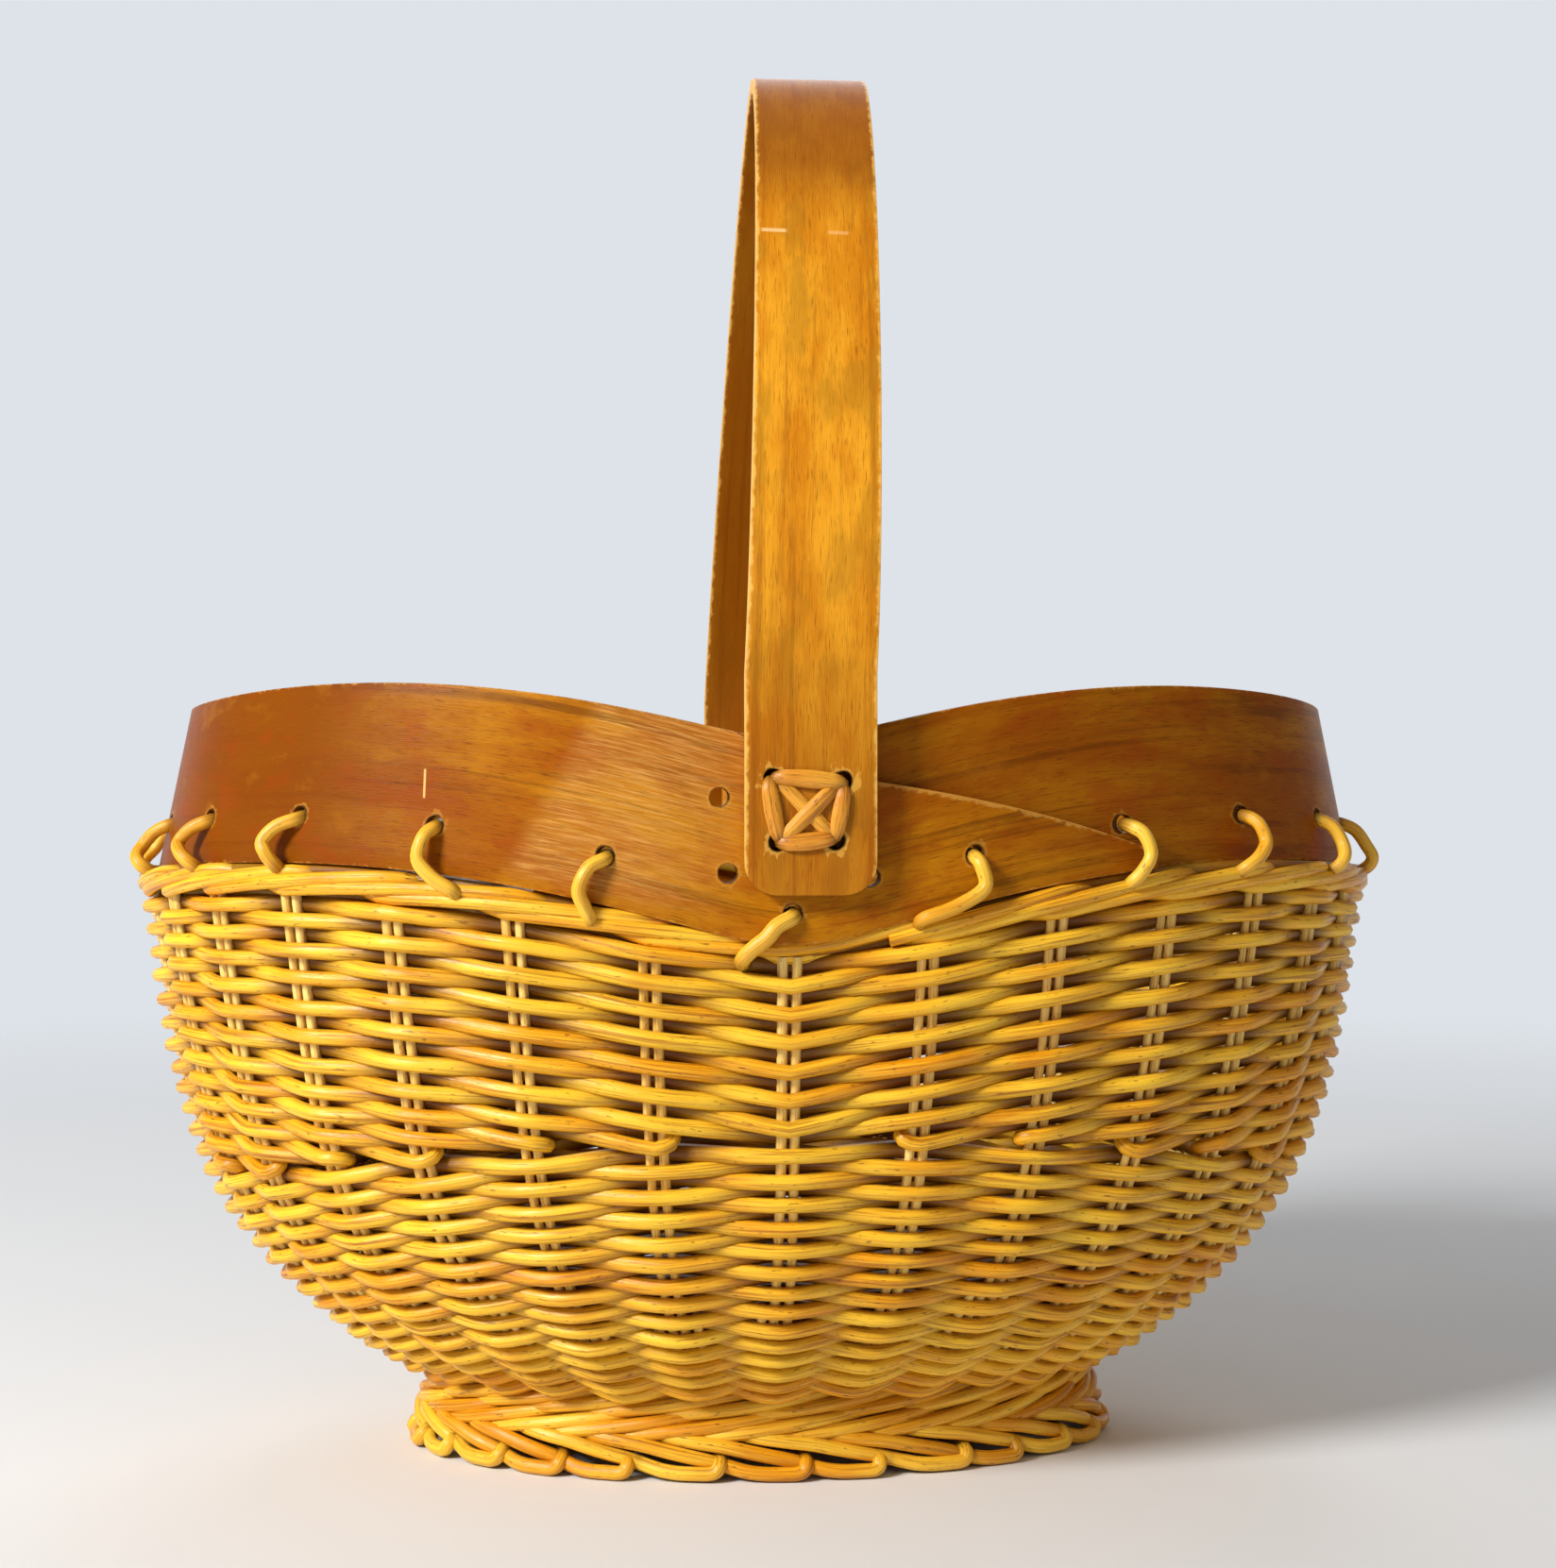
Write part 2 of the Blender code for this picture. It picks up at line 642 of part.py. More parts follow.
def stitch_low_angle(k):
    # Only the stitch under the front foot of the handle slants outside
    slant = STITCH_SLANT_AT_HANDLE if k % STITCH_COUNT == 0 else 0.0
    return stitch_angle(k) + radians(slant)


def stitch_hole_height(k):
    rise = LACING_HOLE_RISE_AT_HANDLE if k % STITCH_COUNT == 0 else LACING_HOLE_RISE
    return band_low(stitch_angle(k)) + rise


def add_pin(bm, middle, direction, radius, length, sides=6):
    turn = direction.to_track_quat("Z", "Y").to_matrix().to_4x4()
    bmesh.ops.create_cone(bm, cap_ends=True, segments=sides, radius1=radius, radius2=radius,
                          depth=length, matrix=Matrix.Translation(middle) @ turn)


def tie_corners(side):
    # The four holes of one handle lacing: left and right, low and top
    middle = HANDLE_SHIFT + TIE_SHIFT
    return [Vector((middle + across * TIE_HALF_WIDTH, side * HANDLE_HALF_SPAN, height))
            for height in (TIE_LOW_HEIGHT, TIE_TOP_HEIGHT) for across in (-1, 1)]


def band_hole_cutter():
    bm = bmesh.new()
    through = 2 * BAND_THICKNESS + LAP_GAP + CUT_OVERRUN
    for k in range(STITCH_COUNT):
        angle = stitch_angle(k)
        height = stitch_hole_height(k)
        normal = oval_normal(angle, BAND_LOW_HALF_WIDTH, BAND_HALF_DEPTH)
        middle = band_point(angle, height, BAND_THICKNESS)
        add_pin(bm, middle, normal, LACING_HOLE_RADIUS, through)
    depth_way = Vector((0, 1, 0))
    for side in (-1, 1):
        for corner in tie_corners(side):
            middle = Vector((corner.x, side * (BAND_HALF_DEPTH - BAND_THICKNESS), corner.z))
            add_pin(bm, middle, depth_way, TIE_HOLE_RADIUS, through)
    old_holes = (
        (-OLD_HOLE_HIGH_LEFT, OLD_HOLE_HIGH_RISE), (-OLD_HOLE_LOW_LEFT, OLD_HOLE_LOW_RISE),
        (OLD_HOLE_RIGHT, OLD_HOLE_RIGHT_RISE),
    )
    for across, rise in old_holes:
        height = BAND_LOW_FRONT_HEIGHT + rise
        middle = Vector((across, -(BAND_HALF_DEPTH - BAND_THICKNESS), height))
        add_pin(bm, middle, depth_way, OLD_HOLE_RADIUS, through)
    return add_cutter("band_hole_cutter", bm)


def lacing_notches():
    # Slots in the upper edge of the weave, open at the top
    bm = bmesh.new()
    low = LACING_BELOW_BAND + LACING_HOLE_RADIUS
    top = GAP + BORDER_HEIGHT / 2
    for k in range(STITCH_COUNT):
        angle = stitch_low_angle(k)
        normal = oval_normal(angle, BOWL_RIM_HALF_WIDTH, BOWL_RIM_HALF_DEPTH)
        up = Vector((0, 0, 1))
        middle = rim_point(angle, band_low(angle) - (low + top) / 2, WALL_THICKNESS / 2)
        turn = Matrix((normal.cross(up), normal, up)).transposed().to_4x4()
        size = Matrix.Diagonal((2 * LACING_HOLE_RADIUS, WALL_THICKNESS + CUT_OVERRUN, low - top, 1))
        bmesh.ops.create_cube(bm, size=1, matrix=Matrix.Translation(middle) @ turn @ size)
    return add_cutter("lacing_notch_cutter", bm)


def stitch_route(k):
    # From one hole of the band, outside and down, under the top border and up inside
    start = stitch_angle(k)
    low_angle = stitch_low_angle(k)
    next_angle = stitch_angle(k + 1)
    hole = stitch_hole_height(k)
    next_hole = stitch_hole_height(k + 1)
    edge = band_low(low_angle)
    below = edge - LACING_BELOW_BAND
    border_middle = border_top(low_angle) - BORDER_HEIGHT / 2
    clear = LACING_RADIUS + GAP
    normal = oval_normal(low_angle, BOWL_RIM_HALF_WIDTH, BOWL_RIM_HALF_DEPTH)
    inside = band_inner_inset(next_angle)
    travel = mix(low_angle, next_angle, LACING_TRAVEL_SHARE)
    arrive = mix(low_angle, next_angle, 1 - LACING_TRAVEL_SHARE)
    outer_face = rim_point(low_angle, border_middle)
    return [
        band_point(start, hole, BAND_THICKNESS / 2),
        band_point(start, hole, -clear),
        band_point(start, mix(edge, hole, 1 / 2)) + normal * (clear + LACING_BEND),
        outer_face + normal * clear,
        Vector((outer_face.x, outer_face.y, below)) + normal * GAP,
        rim_point(low_angle, below, WALL_THICKNESS / 2),
        rim_point(low_angle, below, WALL_THICKNESS + LACING_BEND),
        rim_point(travel, border_middle, WALL_THICKNESS + clear + GAP),
        band_point(arrive, mix(edge, next_hole, 1 - LACING_TRAVEL_SHARE), inside + clear),
        band_point(next_angle, next_hole, inside + LACING_RADIUS),
    ]


def tube_sections(points, radius, sides):
    # Sections square to a closed route, turned to keep their twist even
    count = len(points)
    across = Vector((0, 0, 1))
    loops = []
    for i, point in enumerate(points):
        ahead = (points[(i + 1) % count] - points[i - 1]).normalized()
        across = (across - ahead * across.dot(ahead)).normalized()
        other = ahead.cross(across)
        loops.append([point + across * radius * cos(tau * j / sides)
                      + other * radius * sin(tau * j / sides) for j in range(sides)])
    return loops


def make_rim_lacing(reed):
    route = [point for k in range(STITCH_COUNT) for point in stitch_route(k)]
    bm = bmesh.new()
    loops = tube_sections(route, LACING_RADIUS, LACING_SIDES)
    # The seam is turned so that the last section meets the first with the least twist
    last, first = loops[-1], loops[0]
    turns = range(LACING_SIDES)
    best = min(turns, key=lambda n: sum((last[j] - first[(j + n) % LACING_SIDES]).length
                                        for j in turns))
    verts = [[bm.verts.new(p) for p in loop] for loop in loops]
    closing = [verts[0][(j + best) % LACING_SIDES] for j in turns]
    for one, two in zip(verts, verts[1:] + [closing]):
        for i in turns:
            j = (i + 1) % LACING_SIDES
            bm.faces.new((one[i], one[j], two[j], two[i]))
    add_piece("rim_lacing", bm, reed)


def handle_side(share):
    # Cubic curve from the top of a straight leg to the crown: (half-span, height)
    rise = HANDLE_TOP_HEIGHT - HANDLE_SPRING_HEIGHT
    corners = (
        (HANDLE_HALF_SPAN, HANDLE_SPRING_HEIGHT),
        (HANDLE_HALF_SPAN, HANDLE_SPRING_HEIGHT + HANDLE_SIDE_SHARE * rise),
        (HANDLE_HALF_SPAN * HANDLE_CROWN_SHARE, HANDLE_TOP_HEIGHT),
        (0.0, HANDLE_TOP_HEIGHT),
    )
    rest = 1 - share
    weights = (rest ** 3, 3 * share * rest ** 2, 3 * share ** 2 * rest, share ** 3)
    return (sum(w * c[0] for w, c in zip(weights, corners)),
            sum(w * c[1] for w, c in zip(weights, corners)))


def handle_line():
    # Outer face in the YZ plane, from the front foot over the crown to the rear foot,
    # with the strap's half-width, narrower where the foot corners are rounded
    foot, corner = HANDLE_FOOT_HEIGHT, HANDLE_CORNER_RADIUS
    half = HANDLE_WIDTH / 2
    leg = []
    for degrees in (0, 15, 35, 60, 90):
        turn = radians(degrees)
        leg.append((HANDLE_HALF_SPAN, foot + corner * (1 - cos(turn)),
                    half - corner * (1 - sin(turn))))
    leg.append((HANDLE_HALF_SPAN, mix(foot, HANDLE_SPRING_HEIGHT, 1 / 2), half))
    quarter = HANDLE_ARCH_STEPS // 2
    arch = [(*handle_side(i / quarter), half) for i in range(quarter)]
    side = leg + arch
    front = [Vector((-span, height, width)) for span, height, width in side]
    rear = [Vector((span, height, width)) for span, height, width in reversed(side)]
    crown = Vector((0, HANDLE_TOP_HEIGHT, half))
    return front + [crown] + rear


def handle_shift(height):
    rise = HANDLE_TOP_HEIGHT - HANDLE_SPRING_HEIGHT
    return HANDLE_SHIFT + HANDLE_LEAN * max(0.0, (height - HANDLE_SPRING_HEIGHT) / rise)


def make_handle(wood):
    line = handle_line()
    edge = HANDLE_EDGE_ROUNDING
    sections = []
    for i, place in enumerate(line):
        before, after = line[max(i - 1, 0)], line[min(i + 1, len(line) - 1)]
        step = hypot(after.x - before.x, after.y - before.y)
        inward = Vector((0, (after.y - before.y) / step, -(after.x - before.x) / step))
        middle = Vector((handle_shift(place.y), place.x, place.y))
        half, deep = place.z, HANDLE_THICKNESS
        outline = (
            (-half + edge, 0), (half - edge, 0), (half, edge), (half, deep - edge),
            (half - edge, deep), (-half + edge, deep), (-half, deep - edge), (-half, edge),
        )
        sections.append([middle + Vector((across, 0, 0)) + inward * depth
                         for across, depth in outline])
    bm = bmesh.new()
    join_sections(bm, sections, False)
    handle = add_piece("handle", bm, wood)
    cutter = bmesh.new()
    for side in (-1, 1):
        for corner in tie_corners(side):
            add_pin(cutter, corner, Vector((0, 1, 0)), TIE_HOLE_RADIUS,
                    2 * HANDLE_THICKNESS + CUT_OVERRUN)
    cut(handle, add_cutter("handle_hole_cutter", cutter))


def add_bar(bm, start, end, width, thickness, overrun=0.0):
    # A flat bar in a plane that faces front or rear
    way = (end - start).normalized()
    out = Vector((0, 1, 0))
    turn = Matrix((way.cross(out).normalized(), out, way)).transposed().to_4x4()
    size = Matrix.Diagonal((width, thickness, (end - start).length + 2 * overrun, 1))
    bmesh.ops.create_cube(bm, size=1, matrix=Matrix.Translation((start + end) / 2) @ turn @ size)


def make_handle_tie(name, side, reed):
    # Square and cross outside, two bars inside and four legs through the holes, all one reed
    low_left, low_right, top_left, top_right = tie_corners(side)
    outward = Vector((0, side, 0))
    inner_y = side * (BAND_HALF_DEPTH - band_inner_inset(side * tau / 4) - GAP)
    flat, thin, wide = TIE_REED_THICKNESS, TIE_THIN_THICKNESS, TIE_REED_WIDTH
    lift = outward * (GAP + flat / 2)
    reach = wide / 2
    sides = [(low_left, low_right, flat, reach), (top_left, top_right, flat, reach),
             (low_left, top_left, thin, 0.0), (low_right, top_right, thin, 0.0),
             (low_left, top_right, flat + TIE_CROSS_STEP, 0.0), (low_right, top_left, thin, 0.0)]
    bars = []
    for start, end, thickness, overrun in sides:
        bm = bmesh.new()
        add_bar(bm, start + lift, end + lift, wide, thickness, overrun)
        bars.append(bm)
    for corners in ((low_left, top_left), (low_right, top_right)):
        low, top = [Vector((c.x, inner_y - side * flat, c.z)) for c in corners]
        bm = bmesh.new()
        add_bar(bm, low, top, wide, flat, reach)
        bars.append(bm)
    for corner in (low_left, low_right, top_left, top_right):
        start, end = corner + lift, Vector((corner.x, inner_y - side * flat, corner.z))
        bm = bmesh.new()
        add_pin(bm, (start + end) / 2, outward, TIE_LEG_RADIUS, (end - start).length, LACING_SIDES)
        bars.append(bm)
    tie = add_piece(name, bars[0], reed)
    for i, bm in enumerate(bars[1:]):
        step = tie.modifiers.new("join", "BOOLEAN")
        step.operation = "UNION"
        step.solver = "EXACT"
        step.object = add_cutter("%s_bar_%02d" % (name, i + 1), bm)


clear_scene()

handle_wood = material("handle_wood", (0.50, 0.22, 0.05), 0.35)
band_wood = material("band_wood", (0.42, 0.17, 0.045), 0.35)
weaver_reed = material("weaver_reed", (0.66, 0.38, 0.06), 0.45)
stake_reed = material("stake_reed", (0.72, 0.52, 0.20), 0.50)
lacing_reed = material("lacing_reed", (0.62, 0.33, 0.06), 0.42)

make_foot(weaver_reed)
make_base(weaver_reed)
make_walls(weaver_reed)
make_stakes(stake_reed)
make_top_border(weaver_reed)
make_band(band_wood)
make_rim_lacing(lacing_reed)
make_handle(handle_wood)
make_handle_tie("handle_tie_front", -1, lacing_reed)
make_handle_tie("handle_tie_rear", 1, lacing_reed)
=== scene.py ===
from math import cos, pi, radians, sin, tau

import bmesh
import bpy
import numpy as np
from mathutils import Matrix, Vector, kdtree


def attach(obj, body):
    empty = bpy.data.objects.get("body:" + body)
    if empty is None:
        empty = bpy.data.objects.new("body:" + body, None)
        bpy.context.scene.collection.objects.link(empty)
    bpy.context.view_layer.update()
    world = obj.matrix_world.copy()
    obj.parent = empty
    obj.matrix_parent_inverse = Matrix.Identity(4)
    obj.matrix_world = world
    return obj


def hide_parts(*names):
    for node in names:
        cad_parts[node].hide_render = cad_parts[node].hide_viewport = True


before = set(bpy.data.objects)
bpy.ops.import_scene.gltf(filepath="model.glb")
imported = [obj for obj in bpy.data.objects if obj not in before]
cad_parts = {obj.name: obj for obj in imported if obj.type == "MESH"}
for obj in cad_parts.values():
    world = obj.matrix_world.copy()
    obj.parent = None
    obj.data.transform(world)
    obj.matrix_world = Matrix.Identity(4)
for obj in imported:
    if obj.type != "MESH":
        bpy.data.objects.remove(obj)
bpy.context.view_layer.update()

mm = 0.001          # every size below is in millimetres, meshes are made in metres
print("frame loaded,", len(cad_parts), "nodes")


# Shape of the bowl and the band, shared by every piece

bowl = {
    "rimWide": 164.5, "rimDeep": 104.0, "rimHigh": 150.0,       # outer face at the rim
    "footWide": 90.0, "footDeep": 47.0, "footHigh": 18.0,       # outer face above the foot ring
    "roundShare": 0.75, "roundPower": 4,
    "changeFront": 90.0, "changeEnd": 73.0,                     # top of the lower weave
}
bandShape = {
    "lowWide": 159.5, "topWide": 151.0, "deep": 102.7,
    "lowFront": 138.2, "lowRise": 54.9, "lowFall": 41.8,
    "topFront": 185.4, "topRise": 46.2, "topFall": 39.7, "saddleShare": 0.085,
}


def mix(low, high, share):
    return low + (high - low) * share


def ease(share):
    share = np.clip(share, 0.0, 1.0)
    return share * share * (3 - 2 * share)


def bowlSizes(height):
    # half-width and half-depth at a height, and how fast they grow with it
    rise = bowl["rimHigh"] - bowl["footHigh"]
    share = (height - bowl["footHigh"]) / rise
    power, rounded = bowl["roundPower"], bowl["roundShare"]
    flare = rounded * (1 - (1 - share) ** power) + (1 - rounded) * share
    slope = (rounded * power * (1 - share) ** (power - 1) + (1 - rounded)) / rise
    wide, deep = bowl["rimWide"] - bowl["footWide"], bowl["rimDeep"] - bowl["footDeep"]
    return bowl["footWide"] + wide * flare, bowl["footDeep"] + deep * flare, wide * slope, deep * slope


def inward(place, normal, inset):
    # points moved in square to a face, and the outward normals
    normal = normal / np.linalg.norm(normal, axis=-1, keepdims=True)
    return place - normal * np.asarray(inset)[..., None], normal


def ovalPoint(angle, wide, deep, height, inset):
    place = np.stack([wide * np.cos(angle), deep * np.sin(angle), height + 0 * angle], -1)
    normal = np.stack([deep * np.cos(angle), wide * np.sin(angle), 0 * angle], -1)
    return inward(place, normal, inset)


def bowlPoint(angle, height, inset):
    wide, deep, wideSlope, deepSlope = bowlSizes(height)
    c, s = np.cos(angle), np.sin(angle)
    place = np.stack([wide * c, deep * s, height + 0 * c], -1)
    around = np.stack([-wide * s, deep * c, 0 * c], -1)
    upward = np.stack([wideSlope * c, deepSlope * s, 1 + 0 * c], -1)
    return inward(place, np.cross(around, upward), inset)


def saddle(angle, front, rise, fall):
    side = np.sqrt(np.cos(angle) ** 2 + bandShape["saddleShare"] ** 2) - bandShape["saddleShare"]
    return front + rise * side - fall * side * side


def bandLow(angle):
    return saddle(angle, bandShape["lowFront"], bandShape["lowRise"], bandShape["lowFall"])


def bandTop(angle):
    return saddle(angle, bandShape["topFront"], bandShape["topRise"], bandShape["topFall"])


def bandPoint(angle, height, inset):
    low, top = bandLow(angle), bandTop(angle)
    wide = mix(bandShape["lowWide"], bandShape["topWide"], (height - low) / (top - low))
    return ovalPoint(angle, wide, bandShape["deep"], height, inset)


# length along the wall from the top of the foot, tabled over the angle and the height
tableHeights = np.linspace(8.0, 168.0, 321)
tableTurns = np.linspace(0.0, 1.0, 41)          # squared cosine of the angle
tableArcs = []
for turn in tableTurns:
    wideSlope, deepSlope = bowlSizes(tableHeights)[2:]
    speed = np.sqrt(1 + wideSlope ** 2 * turn + deepSlope ** 2 * (1 - turn))
    arc = np.concatenate([[0.0], np.cumsum((speed[1:] + speed[:-1]) / 2 * np.diff(tableHeights))])
    tableArcs.append(arc - np.interp(bowl["footHigh"], tableHeights, arc))


def tableMix(angle, value, known, wanted):
    place = np.cos(angle) ** 2 * (len(tableTurns) - 1)
    low = np.minimum(place.astype(int), len(tableTurns) - 2)
    found = np.empty(len(angle))
    for i, (k, share) in enumerate(zip(low, place - low)):
        one = np.interp(value[i], known(k), wanted(k))
        two = np.interp(value[i], known(k + 1), wanted(k + 1))
        found[i] = mix(one, two, share)
    return found


def heightAt(angle, arc):
    return tableMix(angle, arc, lambda k: tableArcs[k], lambda k: tableHeights)


def arcAt(angle, height):
    return tableMix(angle, height, lambda k: tableHeights, lambda k: tableArcs[k])


# Making reeds

def spotsOf(mesh):
    spots = np.empty(len(mesh.vertices) * 3)
    mesh.vertices.foreach_get("co", spots)
    return spots.reshape(-1, 3) / mm


def addValues(mesh, **layers):
    for label, values in layers.items():
        layer = mesh.attributes.new(label, "FLOAT_VECTOR" if values.ndim == 2 else "FLOAT", "POINT")
        layer.data.foreach_set("vector" if values.ndim == 2 else "value", values.ravel().astype(np.float32))


def wander(count, every, size, seed):
    # slow, repeatable unevenness along a reed
    knots = np.random.default_rng(seed).uniform(-size, size, max(int(count / every) + 3, 4))
    return np.interp(np.linspace(0, len(knots) - 1, count), np.arange(len(knots)), knots)


def strand(points, radius, hidden=0.0, flat=None, squash=1.0):
    # one reed: its middle line, thickness, how far each point is tucked in, which paints shade on it, and a
    # flattening
    return {"points": np.asarray(points, float), "radius": radius, "hidden": hidden,
            "flat": flat, "squash": squash}


def reedPiece(name, strands, finish, stands, sides=8):
    # every reed is a round bevelled spline; all of them become one mesh
    curve = bpy.data.curves.new(name, "CURVE")
    curve.dimensions = "3D"
    curve.bevel_depth = 1.0
    curve.bevel_resolution = (sides - 4) // 2
    curve.use_fill_caps = True
    for reed in strands:
        count = len(reed["points"])
        spline = curve.splines.new("POLY")
        spline.points.add(count - 1)
        placed = np.ones((count, 4))
        placed[:, :3] = reed["points"] * mm
        spline.points.foreach_set("co", placed.ravel())
        spline.points.foreach_set("radius", np.broadcast_to(np.asarray(reed["radius"]) * mm, count).copy())
    rough = bpy.data.objects.new(name + "Curve", curve)
    bpy.context.collection.objects.link(rough)
    graph = bpy.context.evaluated_depsgraph_get()
    mesh = bpy.data.meshes.new_from_object(rough.evaluated_get(graph), depsgraph=graph)
    bpy.data.objects.remove(rough, do_unlink=True)
    mesh.name = name

    # side vertices come ring by ring after the caps
    spots = spotsOf(mesh)
    total = len(spots)
    ring = np.arange(sides) * tau / sides
    centres, coords, tones, hiddens = [], [], [], []
    dice = np.random.default_rng(len(strands))
    for reed in strands:
        points = reed["points"]
        count = len(points)
        length = np.concatenate([[0.0], np.cumsum(np.linalg.norm(np.diff(points, axis=0), axis=1))])
        radius = np.broadcast_to(reed["radius"], count)
        start = dice.uniform(0, 900)
        coords.append(np.stack([np.repeat(length + start, sides),
                                np.repeat(radius, sides) * np.tile(np.cos(ring), count),
                                np.repeat(radius, sides) * np.tile(np.sin(ring), count)], -1))
        tones.append(np.full(count * sides, dice.uniform(0, 1)))
        hiddens.append(np.repeat(np.broadcast_to(reed["hidden"], count), sides))
        centres.append(np.repeat(points, sides, axis=0))
    centres, coords, tones, hiddens = map(np.concatenate, (centres, coords, tones, hiddens))
    first = total - len(centres)
    # each cap vertex takes the values of the side vertex beside it
    nearest = np.arange(total) - first
    tree = kdtree.KDTree(len(centres))
    for i, spot in enumerate(spots[first:]):
        tree.insert(spot, i)
    tree.balance()
    for i in range(first):
        nearest[i] = tree.find(spots[i])[1]
    if any(reed["flat"] is not None for reed in strands):
        ways = np.concatenate([np.repeat(np.broadcast_to(
            (0.0, 0.0, 0.0) if reed["flat"] is None else reed["flat"], reed["points"].shape), sides, axis=0)
            for reed in strands])
        squashes = np.concatenate([np.full(len(reed["points"]) * sides, reed["squash"]) for reed in strands])
        offset = spots - centres[nearest]
        along = np.einsum("ij,ij->i", offset, ways[nearest])
        spots = spots + ways[nearest] * (along * (squashes[nearest] - 1))[:, None]
        mesh.vertices.foreach_set("co", (spots * mm).ravel())
    addValues(mesh, reedPlace=coords[nearest], reedTone=tones[nearest], reedHidden=hiddens[nearest])
    bm = bmesh.new()
    bm.from_mesh(mesh)
    bmesh.ops.remove_doubles(bm, verts=bm.verts, dist=1e-7)
    bmesh.ops.recalc_face_normals(bm, faces=bm.faces)
    bm.to_mesh(mesh)
    bm.free()
    mesh.shade_smooth()
    mesh.set_sharp_from_angle(angle=radians(55))
    placePiece(name, mesh, finish, stands)


def placePiece(name, mesh, finish, stands):
    mesh.materials.clear()
    mesh.materials.append(finish)
    piece = bpy.data.objects.new(name, mesh)
    bpy.context.collection.objects.link(piece)
    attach(piece, "root")
    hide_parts(*stands)
    print(name, "made,", len(mesh.polygons), "faces")


# Materials

class Flow:
    # a socket in an expression; the operators add Math nodes
    def __init__(self, bench, socket):
        self.bench = bench
        self.socket = socket

    def math(self, operation, *others):
        return self.bench.add("ShaderNodeMath", {"operation": operation}, dict(enumerate((self, *others))))

    def flip(self, operation, other):
        return self.bench.add("ShaderNodeMath", {"operation": operation}, {0: other, 1: self})

    def __add__(self, other):
        return self.math("ADD", other)

    def __radd__(self, other):
        return self.flip("ADD", other)

    def __sub__(self, other):
        return self.math("SUBTRACT", other)

    def __rsub__(self, other):
        return self.flip("SUBTRACT", other)

    def __mul__(self, other):
        return self.math("MULTIPLY", other)

    def __rmul__(self, other):
        return self.flip("MULTIPLY", other)

    def __truediv__(self, other):
        return self.math("DIVIDE", other)

    def __rtruediv__(self, other):
        return self.flip("DIVIDE", other)

    def __pow__(self, other):
        return self.math("POWER", other)

    def __rpow__(self, other):
        return self.flip("POWER", other)

    def size(self):
        return self.math("ABSOLUTE")

    def least(self, other):
        return self.math("MINIMUM", other)

    def most(self, other):
        return self.math("MAXIMUM", other)

    def between(self, low, high):
        # 0 below low, 1 above high, eased between
        sockets = {"Value": self, "From Min": low, "From Max": high}
        return self.bench.add("ShaderNodeMapRange", {"interpolation_type": "SMOOTHSTEP"}, sockets)


class Bench:
    # one material; add() makes every node
    def __init__(self, name):
        self.material = bpy.data.materials.new(name)
        self.material.use_nodes = True
        self.tree = self.material.node_tree
        self.tree.nodes.clear()
        self.made = 0

    def add(self, kind, settings=None, sockets=None, out=0):
        node = self.tree.nodes.new(kind)
        node.location = (self.made % 12 * 180, -(self.made // 12) * 260)
        self.made += 1
        for key, value in (settings or {}).items():
            setattr(node, key, value)
        for key, value in (sockets or {}).items():
            socket = node.inputs[key]
            if isinstance(value, Flow):
                self.tree.links.new(value.socket, socket)
            else:
                socket.default_value = value
        return Flow(self, node.outputs[out]) if node.outputs else None

    def place(self, attribute):
        return self.add("ShaderNodeAttribute", {"attribute_name": attribute}, out=1)

    def value(self, attribute):
        return self.add("ShaderNodeAttribute", {"attribute_name": attribute}, out=2)

    def split(self, source):
        # the three parts of a place
        node = self.add("ShaderNodeSeparateXYZ", None, {"Vector": source}).socket.node
        return [Flow(self, socket) for socket in node.outputs]

    def noise(self, attribute, scale, shift, detail, rough):
        # noise on an attribute of the piece, stretched
        sockets = {"Vector": self.place(attribute), "Scale": scale, "Location": shift}
        vector = self.add("ShaderNodeMapping", None, sockets)
        return self.add("ShaderNodeTexNoise", None,
                        {"Vector": vector, "Scale": 1.0, "Detail": detail, "Roughness": rough})

    def blend(self, share, one, two):
        two = two if isinstance(two, Flow) else tint(*two)
        one = one if isinstance(one, Flow) else tint(*one)
        return self.add("ShaderNodeMix", {"data_type": "RGBA"}, {"Factor": share, 6: one, 7: two}, out=2)

    def finish(self, colour, roughness, bump, distance, **fixed):
        normal = self.add("ShaderNodeBump", None, {"Height": bump, "Strength": 1.0, "Distance": distance})
        sockets = {"Base Color": colour, "Roughness": roughness, "Normal": normal}
        sockets.update(fixed)
        shader = self.add("ShaderNodeBsdfPrincipled", None, sockets)
        self.add("ShaderNodeOutputMaterial", None, {"Surface": shader})
        return self.material


def tint(red, green, blue):
    # a colour as seen on screen, 0 to 255, as shader values
    def straight(value):
        value /= 255
        return value / 12.92 if value <= 0.04045 else ((value + 0.055) / 1.055) ** 2.4
    return (straight(red), straight(green), straight(blue), 1.0)


reedLooks = {
    # name: light, middle and dark colour, the colour of dark flecks and of the painted shade on tucked parts,
    # roughness, strength of the grain
    "weaverReed": ((254, 202, 50), (232, 152, 10), (146, 72, 1), (86, 38, 1), 0.3, 1.0),
    "stakeReed": ((252, 222, 132), (236, 194, 90), (184, 130, 42), (120, 72, 12), 0.42, 1.0),
    "footReed": ((252, 200, 56), (222, 146, 12), (140, 72, 1), (56, 25, 1), 0.3, 0.8),
    "lacingReed": ((252, 204, 70), (234, 164, 30), (170, 96, 10), (96, 48, 3), 0.34, 0.7),
    "tieReed": ((236, 166, 50), (196, 112, 16), (116, 54, 4), (44, 18, 1), 0.32, 0.8),
}


